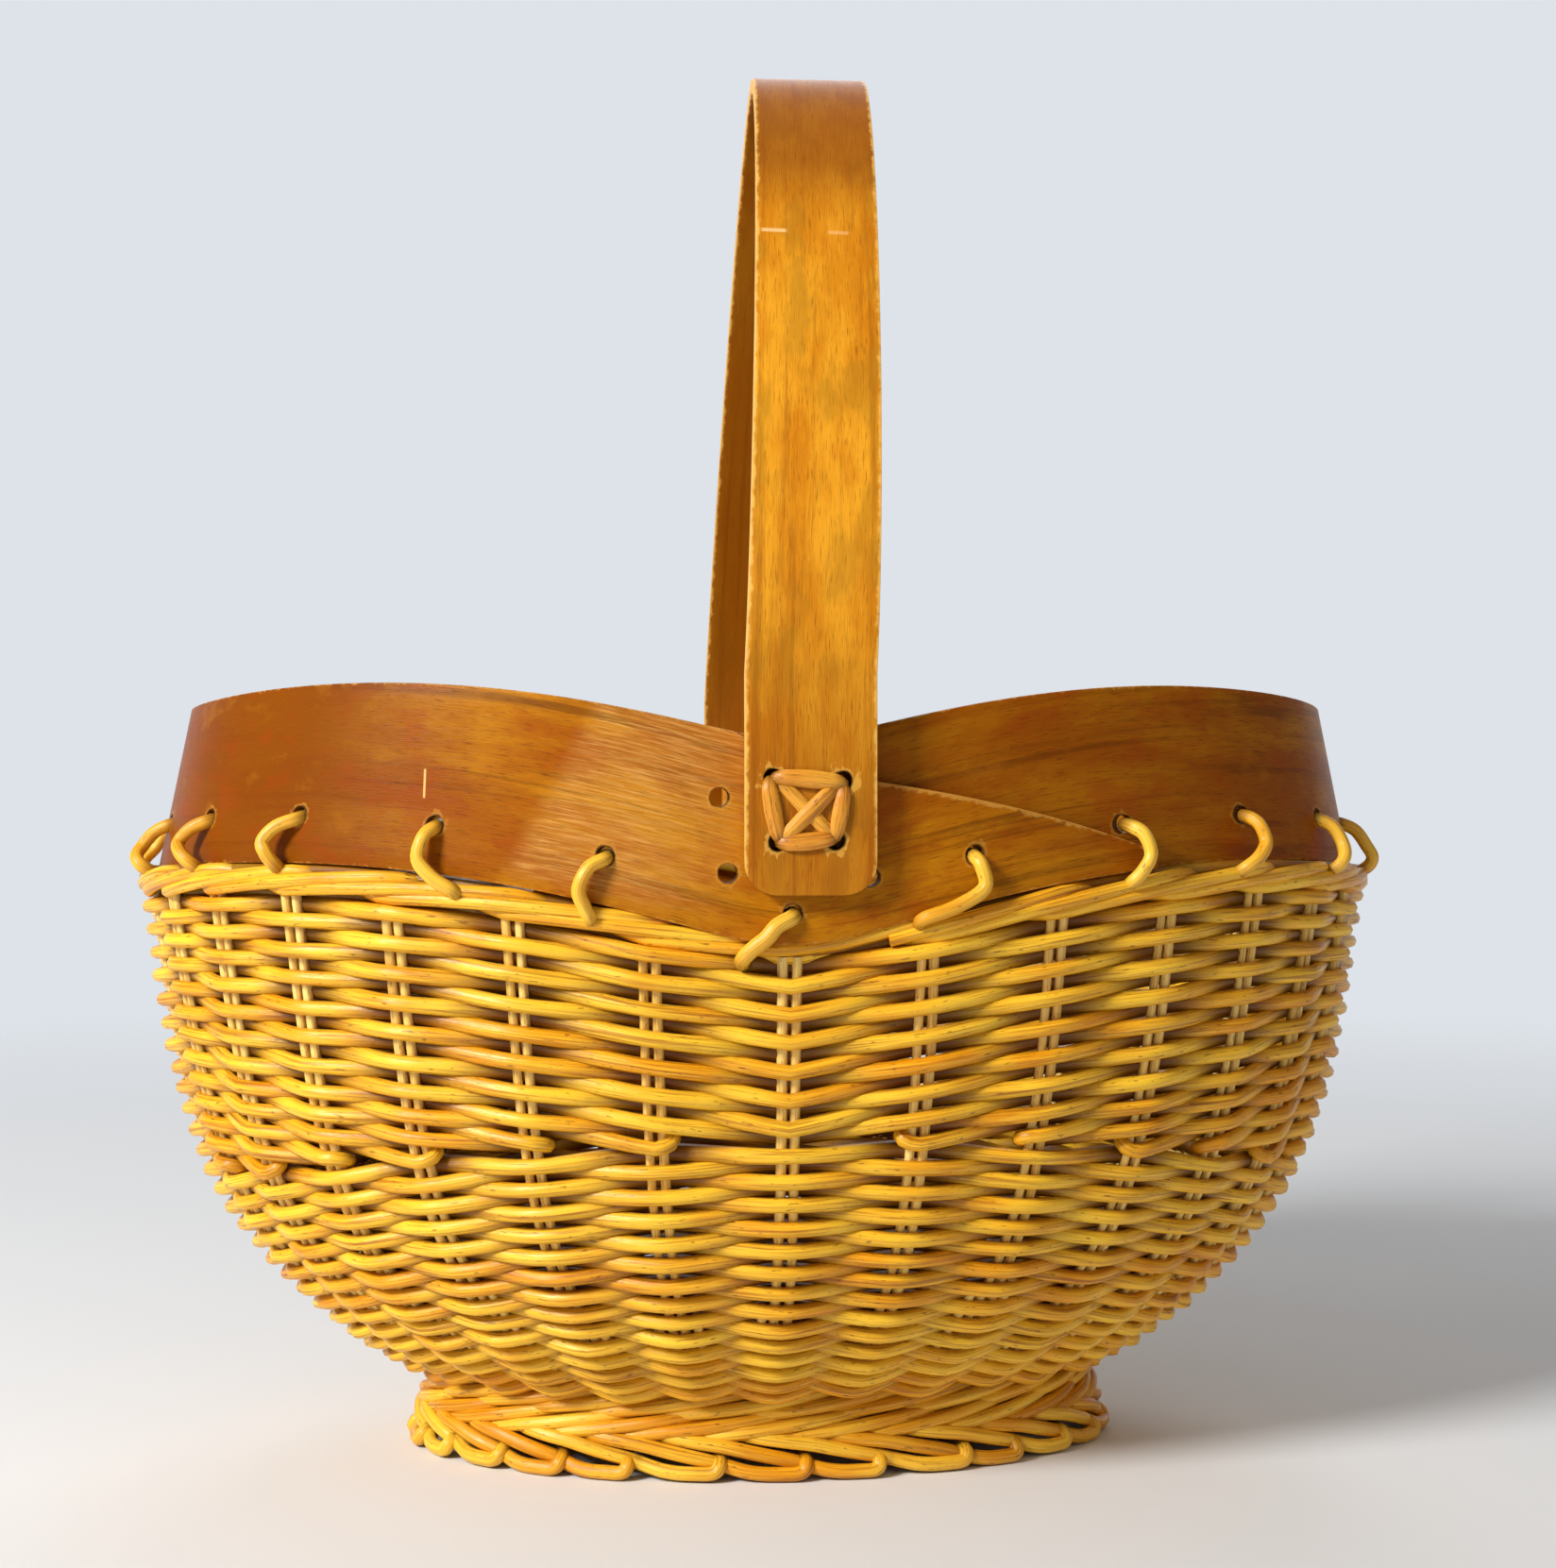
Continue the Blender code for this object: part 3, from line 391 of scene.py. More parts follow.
def reedFinish(name):
    # varnished reed: long fibres, slow change of tone, pale and dark fibres, dark flecks, and painted shade
    # on the tucked parts
    light, middle, dark, fleckAndShadeColour, gloss, grain = reedLooks[name]
    bench = Bench(name)
    tone, hidden = bench.value("reedTone"), bench.value("reedHidden")
    fibres = bench.noise("reedPlace", (0.05, 2.2, 2.2), (0.0, 0.0, 0.0), 4.0, 0.6)
    streaks = bench.noise("reedPlace", (0.012, 0.9, 0.9), (4.0, 2.0, 7.0), 2.0, 0.5)
    slow = bench.noise("reedPlace", (0.03, 0.0, 0.0), (11.0, 3.0, 1.0), 2.0, 0.5)
    flecks = bench.noise("reedPlace", (0.35, 1.6, 1.6), (1.0, 9.0, 5.0), 2.0, 0.5)
    share = (slow.between(0.3, 0.7) * 0.6 + tone * 0.4).between(0.1, 0.9)
    colour = bench.blend(share, middle, light)
    colour = bench.blend(streaks.between(0.5, 0.74) * (0.65 * grain), colour, dark)
    colour = bench.blend(fibres.between(0.5, 0.68) * (0.62 * grain), colour, dark)
    colour = bench.blend(fibres.between(0.48, 0.34) * (0.65 * grain), colour, light)
    colour = bench.blend(flecks.between(0.64, 0.72) * 0.6, colour, fleckAndShadeColour)
    # painted shade on the tucked parts: behind the stakes, under the band and in the holes
    colour = bench.blend(hidden.between(0.25, 0.95) * 0.9, colour, fleckAndShadeColour)
    roughness = fibres * 0.25 + (gloss - 0.1)
    bump = fibres * 0.7 + streaks * 0.5
    return bench.finish(colour, roughness, bump, 0.00025, **{"Specular IOR Level": 0.4})


weaverReed, stakeReed, footReed, lacingReed, tieReed = map(reedFinish, reedLooks)
print("reed materials made")


# Weave of the bowl

weave = {
    "stakes": 31, "lowerRows": 28, "upperRows": 13, "shortRows": 12, "shortPitch": 2.85,
    "firstMark": 29, "lowest": 0.8,             # where the first reed starts, along and up the wall
    "steps": 7,                                 # points from one stake to the next
    "radius": 1.8, "unevenRadius": 0.14, "front": 1.45, "back": 6.2, "uneven": 0.24,
    "flatShare": 0.06, "roundShare": 0.35,      # how a reed passes from the front of a stake to the back
    "packed": 0.28,                             # how much thicker a tucked part is
    "lowBulge": 0.7, "bulgeBelow": 50.0, "bulgeOver": 30.0,
    "turnReach": 4.2,                           # how far the bends of the short rows stand out
    "border": 8.2, "corner": 3.8, "cornerShare": 0.2,       # left free for the top border, less in the middle
}
# stakes are counted from the rear: the front middle is stake 15
shortEnds = {
    "right": [(21 - i // 2, 24 + (i + 1) // 2) for i in range(weave["shortRows"])],
    "left": [(6 - (i + 1) // 2, 9 + i // 2) for i in range(weave["shortRows"])],
}


def shortCover(u, ends):
    # 1 where a short row is, falling to 0 over the next stake
    low, high = ends
    return ease(u - (low + 0.5) + 1) * ease((high + 0.5) + 1 - u)


def shortLift(u, side, below):
    u = np.mod(u, weave["stakes"])
    return weave["shortPitch"] * sum(shortCover(u, ends) for ends in shortEnds[side][:below])


def shortTotal(u):
    return shortLift(u, "right", weave["shortRows"]) + shortLift(u, "left", weave["shortRows"])


def stakeAngle(u):
    return tau / 4 + u * (tau / weave["stakes"])


def changeArc(angle):
    return arcAt(angle, mix(bowl["changeFront"], bowl["changeEnd"], np.cos(angle) ** 2))


def cutCorner(angle):
    # how much higher the weave reaches at the middle, where the band dips
    return weave["corner"] * np.exp(-(np.cos(angle) / weave["cornerShare"]) ** 2)


def rowArc(u, row):
    # where a row lies along the wall; rows climb steadily as the reed goes round
    angle = stakeAngle(u)
    change = changeArc(angle)
    lowPitch = change / weave["lowerRows"]
    turn = np.mod(u / weave["stakes"], 1.0)
    edge = weave["lowerRows"] - 0.5 + turn
    base = edge * lowPitch
    top = arcAt(angle, bandLow(angle)) - weave["border"] + cutCorner(angle)
    highPitch = (top - change - shortTotal(u)) / weave["upperRows"]
    return np.where(row <= edge, row * lowPitch, base + shortTotal(u) + (row - edge) * highPitch)


def threaded(marks, arcs, seed, parity=0):
    # a reed that passes in front of and behind the stakes in turn, straight from one to the next
    dice = np.random.default_rng(seed)
    angles = stakeAngle(marks + 0.5)
    arcs = arcs + dice.uniform(-weave["uneven"], weave["uneven"], len(marks))
    places, normals = bowlPoint(angles, heightAt(angles, arcs), np.zeros(len(marks)))
    behind = np.mod(marks + parity, 2).astype(float)
    front = weave["front"] - weave["lowBulge"] * ease((weave["bulgeBelow"] - arcs) / weave["bulgeOver"])
    depths = mix(front, weave["back"], behind)
    depths = depths + dice.uniform(-weave["uneven"], weave["uneven"], len(marks))
    steps, flat = weave["steps"], weave["flatShare"]
    ats = np.linspace(0, len(marks) - 1, (len(marks) - 1) * steps + 1)
    low = np.minimum(ats.astype(int), len(marks) - 2)
    share = (ats - low)[:, None]
    past = np.clip((share - flat) / (1 - 2 * flat), 0.0, 1.0)
    turned = mix(past, ease(past), weave["roundShare"])
    depth = mix(depths[low][:, None], depths[low + 1][:, None], turned)
    points = mix(places[low], places[low + 1], share) - mix(normals[low], normals[low + 1], share) * depth
    hidden = mix(behind[low], behind[low + 1], turned[:, 0])
    radius = weave["radius"] + wander(len(ats), 14, weave["unevenRadius"], seed + 1)
    return points, radius * (1 + weave["packed"] * hidden), hidden


def rowStrands(mark, last, seed):
    # the climbing spiral, as reeds of three turns that are joined behind stakes near the rear
    strands = []
    reach = 3 * weave["stakes"] + 1
    while mark < last:
        stop = min(mark + reach, last)
        marks = np.arange(mark, stop + 1)
        arcs = np.maximum(rowArc(marks + 0.5, (marks + 0.5) / weave["stakes"]), weave["lowest"])
        strands.append(strand(*threaded(marks, arcs, seed)))
        mark = stop
        seed += 7
    return strands


def shortStrand(side, seed):
    # back-and-forth rows that fill the end of the bowl; the reed turns round a stake each time
    parts = []
    for i, (low, high) in enumerate(shortEnds[side]):
        towardLow = (i % 2 == 0) == (side == "right")
        marks = np.arange(low, high + 1)
        marks = marks[::-1] if towardLow else marks
        us = marks + 0.5
        edge = weave["lowerRows"] - 0.5 + np.mod(us / weave["stakes"], 1.0)
        start = edge * changeArc(stakeAngle(us)) / weave["lowerRows"]
        arcs = start + shortLift(us, side, i) + weave["shortPitch"] / 2
        points, radius, hidden = threaded(marks, arcs, seed + i, i)
        if parts:
            # the bend lies beside the stake, halfway between the two rows
            angle, outward = stakeAngle(us[:1]), 1 if towardLow else -1
            arc = (arcBefore + arcs[:1]) / 2
            inset = np.array([(weave["front"] + weave["back"]) / 2])
            middle = bowlPoint(angle, heightAt(angle, arc), inset)[0][0]
            beside = bowlPoint(angle + outward * 0.02, heightAt(angle, arc), inset)[0][0] - middle
            beside *= weave["turnReach"] / np.linalg.norm(beside)
            span = (points[0] - parts[-1][0][-1]) / 2
            turnBack = [middle + beside * cos(radians(turn)) + span * sin(radians(turn))
                        for turn in (-60, -30, 0, 30, 60)]
            parts.append((np.array(turnBack), np.full(5, weave["radius"]), np.full(5, 0.4)))
        parts.append((points, radius, hidden))
        arcBefore = arcs[-1:]
    return strand(*(np.concatenate(group) for group in zip(*parts)))


changeMark = weave["lowerRows"] * weave["stakes"] + 1
lastMark = (weave["lowerRows"] + weave["upperRows"]) * weave["stakes"]
lowerStrands = rowStrands(weave["firstMark"], changeMark, 100)
upperStrands = rowStrands(changeMark, lastMark, 500) + [shortStrand("right", 900), shortStrand("left", 950)]
reedPiece("weaveLower", lowerStrands, weaverReed, ["wall_lower"])
reedPiece("weaveUpper", upperStrands, weaverReed, ["wall_upper"])


# Stakes

stakes = {
    "radius": 1.18, "unevenRadius": 0.12, "apart": 1.6, "uneven": 0.25, "inset": 3.9, "steps": 26,
    "low": -3.0, "belowBand": 3.2,              # the ends, along the wall and under the band
    "lean": 0.55, "leanBelow": 6.0,             # how the rods bend inward at the foot
    # the lower weave has extra rods at most stakes: their share, thickness and upper end
    "extraShare": 0.75, "extraRadius": 1.25, "extraTop": (26.0, 52.0),
}


def stakeStrand(u, across, top, radius, seed):
    # a rod that follows the wall, a little beside the middle of its stake
    angle = stakeAngle(np.full(stakes["steps"], float(u)))
    arc = np.linspace(stakes["low"], top, stakes["steps"])
    height = heightAt(angle, arc)
    wide, deep = bowlSizes(height)[:2]
    reach = np.hypot(wide * np.sin(angle), deep * np.cos(angle))
    inset = stakes["inset"] + stakes["lean"] * np.clip(stakes["leanBelow"] - arc, 0, 9)
    across = across + wander(len(arc), 8, stakes["uneven"], seed)
    return strand(bowlPoint(angle + across / reach, height, inset)[0], radius)


stakeStrands = []
stakeDice = np.random.default_rng(31)
for k in range(weave["stakes"]):
    u = k + 0.5
    angle = stakeAngle(np.array([u]))
    top = arcAt(angle, bandLow(angle) - stakes["belowBand"])[0]
    for side in (-1, 1):
        radius = stakes["radius"] + stakeDice.uniform(-stakes["unevenRadius"], stakes["unevenRadius"])
        stakeStrands.append(stakeStrand(u, side * stakes["apart"], top, radius, 2000 + 2 * k + side))
    for side in (-1, 1):
        if stakeDice.uniform() < stakes["extraShare"]:
            end, across = stakeDice.uniform(*stakes["extraTop"]), side * 3 * stakes["apart"]
            stakeStrands.append(stakeStrand(u, across, end, stakes["extraRadius"], 3000 + 2 * k + side))
reedPiece("stakes", stakeStrands, stakeReed,
          ["stake_%02d" % (k + 1) for k in range(weave["stakes"])])


# Top border: three reeds twined round the rim, over two stakes and behind one

border = {
    "radius": 1.74, "below": 4.4, "rise": 2.3, "front": 1.1, "back": 6.4, "bow": 1.0, "uneven": 0.25,
    "cornerShare": 0.75, "tuck": 0.55,          # how it follows the weave up and inward at the middle
    "starts": (16.2, 15.3, 15.7), "round": 31.3, "steps": 7,        # in stakes; points from one to the next
    "endTuck": 4.2, "endLength": 0.6,
    "behind": ((2.3, 5.2), (4.9, 6.6), (8.0, 6.9)),                 # below the band's edge, inset
    "behindStart": 3.2, "behindSteps": 5, "behindUneven": 0.3,
}


def twined(u, shift):
    # how far a reed has come up across the front of two stakes, and how far it is tucked behind the next
    over, under = 2.0, 1.0
    place = np.mod(u - 0.5 + shift, over + under)
    across = np.clip(place / over, 0.0, 1.0)
    behind = np.clip((place - over) / under, 0.0, 1.0)
    tucked = np.sin(np.pi * behind) ** 1.2
    lift = np.where(place < over, across, 1 - ease(behind))
    return lift, tucked


borderStrands = []
for i, start in enumerate(border["starts"]):
    # the reeds start and end beside the front middle; one cut end stays in sight
    stop, endLength = start + border["round"], border["endLength"]
    us = np.linspace(start, stop, int((stop - start) * border["steps"]) + 1)
    angle = stakeAngle(us)
    lift, tucked = twined(us, i)
    arc = arcAt(angle, bandLow(angle)) - border["below"] + (lift - 0.5) * 2 * border["rise"]
    arc = arc + wander(len(us), 10, border["uneven"], 4000 + i) + cutCorner(angle) * border["cornerShare"]
    inset = mix(border["front"], border["back"], tucked) + cutCorner(angle) * border["tuck"]
    inset = inset + border["bow"] * (2 * lift - 1) ** 2
    inset = inset + border["endTuck"] * ease((us - stop + endLength) / endLength)
    if i > 0:
        inset = inset + border["endTuck"] * ease((start + endLength - us) / endLength)
    points = bowlPoint(angle, heightAt(angle, arc), inset)[0]
    borderStrands.append(strand(points, border["radius"], tucked))
# the bent-down ends of the stakes lie behind it, close under the band
for i, (below, inset) in enumerate(border["behind"]):
    start, steps = border["behindStart"] + 5 * i, border["behindSteps"]
    us = np.linspace(start, start + weave["stakes"], weave["stakes"] * steps)
    angle = stakeAngle(us)
    arc = arcAt(angle, bandLow(angle)) - below + wander(len(us), 6, border["behindUneven"], 4100 + i)
    points = bowlPoint(angle, heightAt(angle, arc), np.full(len(us), inset))[0]
    # the tucked value 0.75 paints shade on these ends, which lie under the band
    borderStrands.append(strand(points, border["radius"], 0.75))
reedPiece("borderTop", borderStrands, weaverReed, ["top_border"])


# Foot ring

foot = {
    "high": 18.0, "wide": 94.5, "deep": 50.0, "topWide": 90.0, "topDeep": 47.0,
    "loops": 27, "loopPhase": -87.0, "loopMark": 1.9, "loopRadius": 1.9, "loopSmooth": 3,
    "loopSway": 0.12, "loopHigh": (-0.15, 0.25),        # how much the loops differ, along and in height
    "waleRadius": 1.76, "waleHeights": (18.4, 12.9), "waleRise": 2.8, "waleFront": 0.9, "waleBack": 6.4,
    "waleBow": 1.7, "waleShift": 0.35, "waleLap": 0.15, "waleSteps": 8, "waleUneven": 0.2,
}
# each foot rod comes out under the wale, leans down to the ground and turns up in front of the next one
loopPlaces = (
    # loops along, height, inset, tucked, which paints shade on the rod
    (-0.95, 11.4, 5.0, 1.0), (-0.75, 11.0, 3.2, 0.8), (-0.5, 10.4, 1.7, 0.3), (-0.2, 9.6, 1.0, 0.0),
    (0.1, 8.8, 0.9, 0.0), (0.4, 7.3, 1.1, 0.0), (0.7, 5.9, 1.5, 0.1), (0.9, 4.9, 2.2, 0.3),
    (1.04, 4.0, 2.5, 0.5), (1.18, 3.2, 2.1, 0.2), (1.35, 2.4, 1.4, 0.0), (1.55, 2.0, 0.9, 0.0),
    (1.75, 2.0, 0.7, 0.0), (1.9, 2.0, 0.5, 0.0), (1.98, 2.5, 0.4, 0.0), (2.01, 3.5, 0.4, 0.0),
    (2.02, 4.5, 1.2, 0.4), (2.0, 5.2, 3.0, 0.9), (1.96, 5.6, 5.0, 1.0),
)


def footPoint(angle, height, inset):
    share = height / foot["high"]
    wide = mix(foot["wide"], foot["topWide"], share)
    deep = mix(foot["deep"], foot["topDeep"], share)
    return ovalPoint(angle, wide, deep, height, inset)[0]


def footAngle(v):
    return radians(foot["loopPhase"]) + v * tau / foot["loops"]


def loopStrand(k, dice):
    # the rod's places, smoothed once and swayed a little
    table = np.array(loopPlaces)
    at = np.linspace(0, len(table) - 1, foot["loopSmooth"] * len(table))
    rows = np.stack([np.interp(at, np.arange(len(table)), column) for column in table.T], -1)
    for c in range(3):
        rows[1:-1, c] = (rows[:-2, c] + 2 * rows[1:-1, c] + rows[2:, c]) / 4
    sway = dice.uniform(-foot["loopSway"], foot["loopSway"])
    rows[:, 0] += k - foot["loopMark"] + sway * np.linspace(0, 1, len(rows))
    rows[:, 1] += dice.uniform(*foot["loopHigh"])
    height = np.maximum(rows[:, 1], foot["loopRadius"] + 0.02)
    return strand(footPoint(footAngle(rows[:, 0]), height, rows[:, 2]), foot["loopRadius"], rows[:, 3])


waleStrands = []
for row, level in enumerate(foot["waleHeights"]):
    for i in range(3):
        vs = np.linspace(0.0, foot["loops"] + foot["waleLap"], foot["loops"] * foot["waleSteps"])
        lift, tucked = twined(vs - foot["waleShift"] * row, i)
        height = level + (lift - 0.5) * 2 * foot["waleRise"]
        height = height + wander(len(vs), 10, foot["waleUneven"], 5000 + 10 * row + i)
        inset = mix(foot["waleFront"], foot["waleBack"], tucked) + foot["waleBow"] * (2 * lift - 1) ** 2
        waleStrands.append(strand(footPoint(footAngle(vs), height, inset), foot["waleRadius"], tucked))
reedPiece("footWale", waleStrands, footReed, ["foot_wale"])

loopDice = np.random.default_rng(27)
loopStrands = [loopStrand(k, loopDice) for k in range(foot["loops"])]
reedPiece("footLoops", loopStrands, footReed, ["foot_border"])


# Woven base

base = {
    "level": 21.85, "rounds": 12.6, "rods": 31, "steps": 5,
    "innerWide": 41.0, "innerDeep": 2.5, "outerWide": 80.0, "outerDeep": 38.8,
    "radius": 1.6, "dip": 2.55, "rodRadius": 1.3, "rodPoints": 12, "spine": 2.7,
}


def basePoint(angle, share, lift):
    wide = mix(base["innerWide"], base["outerWide"], share)
    deep = mix(base["innerDeep"], base["outerDeep"], share)
    return ovalPoint(angle, wide, deep, base["level"] + lift, 0.0)[0]


# one reed spirals out over and under the rods, which start at a short spine
turns = np.linspace(0.1, base["rounds"], int(base["rounds"] * base["rods"] * base["steps"]))
us = turns * base["rods"]
waves = -np.sin(us * pi)
baseStrands = [strand(basePoint(stakeAngle(us), turns / base["rounds"], waves * base["dip"]),
                      base["radius"], 0.5 - waves / 2)]
shares = np.linspace(0.0, 1.02, base["rodPoints"])
for k in range(base["rods"]):
    rod = basePoint(stakeAngle(k + 0.5 + 0 * shares), shares, 0.0)
    baseStrands.append(strand(rod, base["rodRadius"], 0.3))
xs = np.linspace(-base["innerWide"], base["innerWide"], base["rodPoints"])
for side in (-1, 0, 1):
    spine = np.stack([xs, 0 * xs + side * base["spine"], 0 * xs + base["level"]], -1)
    baseStrands.append(strand(spine, base["rodRadius"], 0.3))
reedPiece("baseWeave", baseStrands, weaverReed, ["base_mat"])


# Rim band: one thin strip of wood, its ends lapped at the front

strip = {
    "thick": 2.6, "columns": 416, "rows": 10, "edge": 0.7,
    "start": -112.0, "end": 304.0, "taper": 265.0, "tip": 4.0, "tipBow": 0.9,
    "lapGap": 0.4, "lapStart": -56.0, "lapEnd": -24.0, "grainRadius": 135.0, "drill": 16.0,
}
lacing = {
    "stitches": 23, "phase": -89.9, "rise": 11.3, "riseAtHandle": 7.2, "holeRadius": 2.2,
    "radius": 1.7, "uneven": 0.08, "frontExtra": 0.2, "belowBand": 5.2, "behindBand": 2.2,
}
tie = {
    "x": 3.4, "half": 7.4, "low": 162.0, "high": 176.4, "holeRadius": 2.1, "innerRadius": 1.6,
    # from the middle of the square: low left, low right, high left, high right
    "corners": ((-6.8, -7.3), (6.3, -7.0), (-8.0, 7.2), (8.0, 6.6)),
}
lapDepth = strip["thick"] + strip["lapGap"]
tieMiddle = (tie["low"] + tie["high"]) / 2
oldHoles = ((-16.4, 172.0), (-14.5, 154.7), (18.2, 153.8))         # empty holes beside the handle
handle = {
    "wide": 30.0, "thick": 4.0, "span": 107.0, "foot": 149.8, "spring": 200.0, "top": 365.6,
    "sideShare": 0.32, "crownShare": 0.36, "shift": 4.2, "lean": 8.0, "corner": 7.4, "edge": 0.9,
    "rows": 260, "columns": 14, "legShare": 0.19, "cornerRows": 0.03, "drill": 14.0,
}


def lapInset(degrees):
    start, end = strip["lapStart"], strip["lapEnd"]
    return lapDepth * (1 - ease((degrees - start) / (end - start)))


def stripPoint(degrees, share):
    # outer face of the strip; its outer end narrows to a tip along a slightly bowed edge
    angle = np.radians(degrees)
    low, top = bandLow(angle), bandTop(angle)
    along = np.clip((degrees - strip["taper"]) / (strip["end"] - strip["taper"]), 0.0, 1.0)
    narrow = mix(top, low + strip["tip"], along) + strip["tipBow"] * 4 * along * (1 - along)
    height = mix(low, np.where(along > 0, narrow, top), share)
    inset = np.where(degrees < strip["lapEnd"], lapInset(degrees), 0.0)
    return bandPoint(angle, height, inset)


def gridMesh(rows, columns, placed):
    # a flat grid with its corners moved by a rule, both shares running from 0 to 1
    bm = bmesh.new()
    bmesh.ops.create_grid(bm, x_segments=rows, y_segments=columns, size=0.5)
    bm.verts.ensure_lookup_table()
    flat = np.array([vert.co[:2] for vert in bm.verts]) + 0.5
    spots = placed(flat[:, 0], flat[:, 1]) * mm
    for vert, spot in zip(bm.verts, spots):
        vert.co = spot
    bm.normal_update()
    return bm


def thicken(bm, thick, edge, segments):
    # the sheet gets its thickness behind the face and rounded edges
    bmesh.ops.solidify(bm, geom=bm.faces, thickness=thick * mm)
    bmesh.ops.recalc_face_normals(bm, faces=bm.faces)
    sharp = [side for side in bm.edges if side.calc_face_angle(0.0) > radians(50)]
    bmesh.ops.bevel(bm, geom=sharp, offset=edge * mm, affect="EDGES", segments=segments,
                    profile=0.5, material=-1, clamp_overlap=True)


def drilled(bm, name, holes, radius, depth):
    # round holes square to the face; a hole is its middle and its direction
    mesh = bpy.data.meshes.new(name)
    bmesh.ops.recalc_face_normals(bm, faces=bm.faces)
    bm.to_mesh(mesh)
    bm.free()
    piece = bpy.data.objects.new(name + "Blank", mesh)
    bpy.context.collection.objects.link(piece)
    drill = bmesh.new()
    for middle, way in holes:
        turn = Vector(way).to_track_quat("Z", "Y").to_matrix().to_4x4()
        bmesh.ops.create_cone(drill, cap_ends=True, segments=20, radius1=radius * mm, radius2=radius * mm,
                              depth=depth * mm, matrix=Matrix.Translation(Vector(middle) * mm) @ turn)
    drillMesh = bpy.data.meshes.new(name + "Drill")
    drill.to_mesh(drillMesh)
    drill.free()
    cutter = bpy.data.objects.new(name + "Drill", drillMesh)
    bpy.context.collection.objects.link(cutter)
    step = piece.modifiers.new("drill", "BOOLEAN")
    step.operation = "DIFFERENCE"
    step.solver = "EXACT"
    step.object = cutter
    graph = bpy.context.evaluated_depsgraph_get()
    done = bpy.data.meshes.new_from_object(piece.evaluated_get(graph), depsgraph=graph)
    done.name = name
    for leftover in (piece, cutter):
        bpy.data.objects.remove(leftover, do_unlink=True)
    done.shade_smooth()
    done.set_sharp_from_angle(angle=radians(38))
    return done


def stitchAngle(k):
    return radians(lacing["phase"]) + k * tau / lacing["stitches"]


def stitchHole(k, inset):
    angle = np.array([stitchAngle(k)])
    rise = lacing["riseAtHandle"] if k % lacing["stitches"] == 0 else lacing["rise"]
    return [part[0] for part in bandPoint(angle, bandLow(angle) + rise, np.array([inset]))]


def tieCorners(side):
    return [(tie["x"] + across, side * handle["span"], tieMiddle + rise) for across, rise in tie["corners"]]


stripSheet = gridMesh(strip["columns"], strip["rows"],
                      lambda u, v: stripPoint(mix(strip["start"], strip["end"], u), v)[0])
thicken(stripSheet, strip["thick"], strip["edge"], 2)
tieHoles = [(corner, (0, 1, 0)) for side in (-1, 1) for corner in tieCorners(side)]
bandHoles = [stitchHole(k, strip["thick"]) for k in range(lacing["stitches"])] + tieHoles
bandHoles += [((x, -bandShape["deep"], z), (0, 1, 0)) for x, z in oldHoles]
bandMesh = drilled(stripSheet, "rimBand", bandHoles, lacing["holeRadius"], strip["drill"])

# distances for the wood: along the strip, up from its low edge, down from its top edge
spots = spotsOf(bandMesh)
angle = np.arctan2(spots[:, 1] / bandShape["deep"], spots[:, 0] / bandShape["lowWide"])
riseShare = np.clip((spots[:, 2] - bandLow(angle)) / (bandTop(angle) - bandLow(angle)), 0, 1)
wide = mix(bandShape["lowWide"], bandShape["topWide"], riseShare)
angle = np.arctan2(spots[:, 1] / bandShape["deep"], spots[:, 0] / wide)
behind = np.linalg.norm(bandPoint(angle, spots[:, 2], 0 * angle)[0] - spots, axis=1)
degrees = np.degrees(angle)
# the outer end lies over the inner one, so it counts on past a full turn
outerEnd = (degrees < strip["lapStart"] + 0.5) & (behind < strip["thick"] + 0.25)
along = np.where(outerEnd | (degrees < strip["start"] - 0.5), 360 + degrees, degrees)
tipShare = np.clip((along - strip["taper"]) / (strip["end"] - strip["taper"]), 0.0, 1.0)
tipTop = mix(bandTop(angle), bandLow(angle) + strip["tip"], tipShare)
height = spots[:, 2] - bandLow(angle)
addValues(bandMesh,
          woodPlace=np.stack([np.radians(along) * strip["grainRadius"], height, behind], -1),
          woodEdge=np.minimum(height, tipTop - spots[:, 2]),
          woodDegrees=along,
          woodSpeed=np.radians(1) * np.hypot(wide * np.sin(angle), bandShape["deep"] * np.cos(angle)))
print("band sheet made")


# Handle: a strap over the basket

def handleLine(share):
    # outer line from the front foot (0) over the crown (0.5) to the rear foot (1)
    half = 1 - np.abs(2 * share - 1)
    legShare = handle["legShare"]
    leg = np.clip(half / legShare, 0, 1)
    t = np.clip((half - legShare) / (1 - legShare), 0, 1)
    rest = 1 - t
    rise = handle["top"] - handle["spring"]
    span = handle["span"]
    weights = (rest ** 3, 3 * t * rest ** 2, 3 * t ** 2 * rest, t ** 3)
    spans = (span, span, span * handle["crownShare"], 0.0)
    heights = (handle["spring"], handle["spring"] + handle["sideShare"] * rise, handle["top"], handle["top"])
    y = sum(w * value for w, value in zip(weights, spans))
    z = sum(w * value for w, value in zip(weights, heights))
    z = np.where(half < legShare, mix(handle["foot"], handle["spring"], leg), z)
    return np.where(share < 0.5, -y, y), z


def handleShift(z):
    # the handle stands beside the middle and leans a little
    rise = np.clip((z - handle["spring"]) / (handle["top"] - handle["spring"]), 0, None)
    return handle["shift"] + handle["lean"] * rise


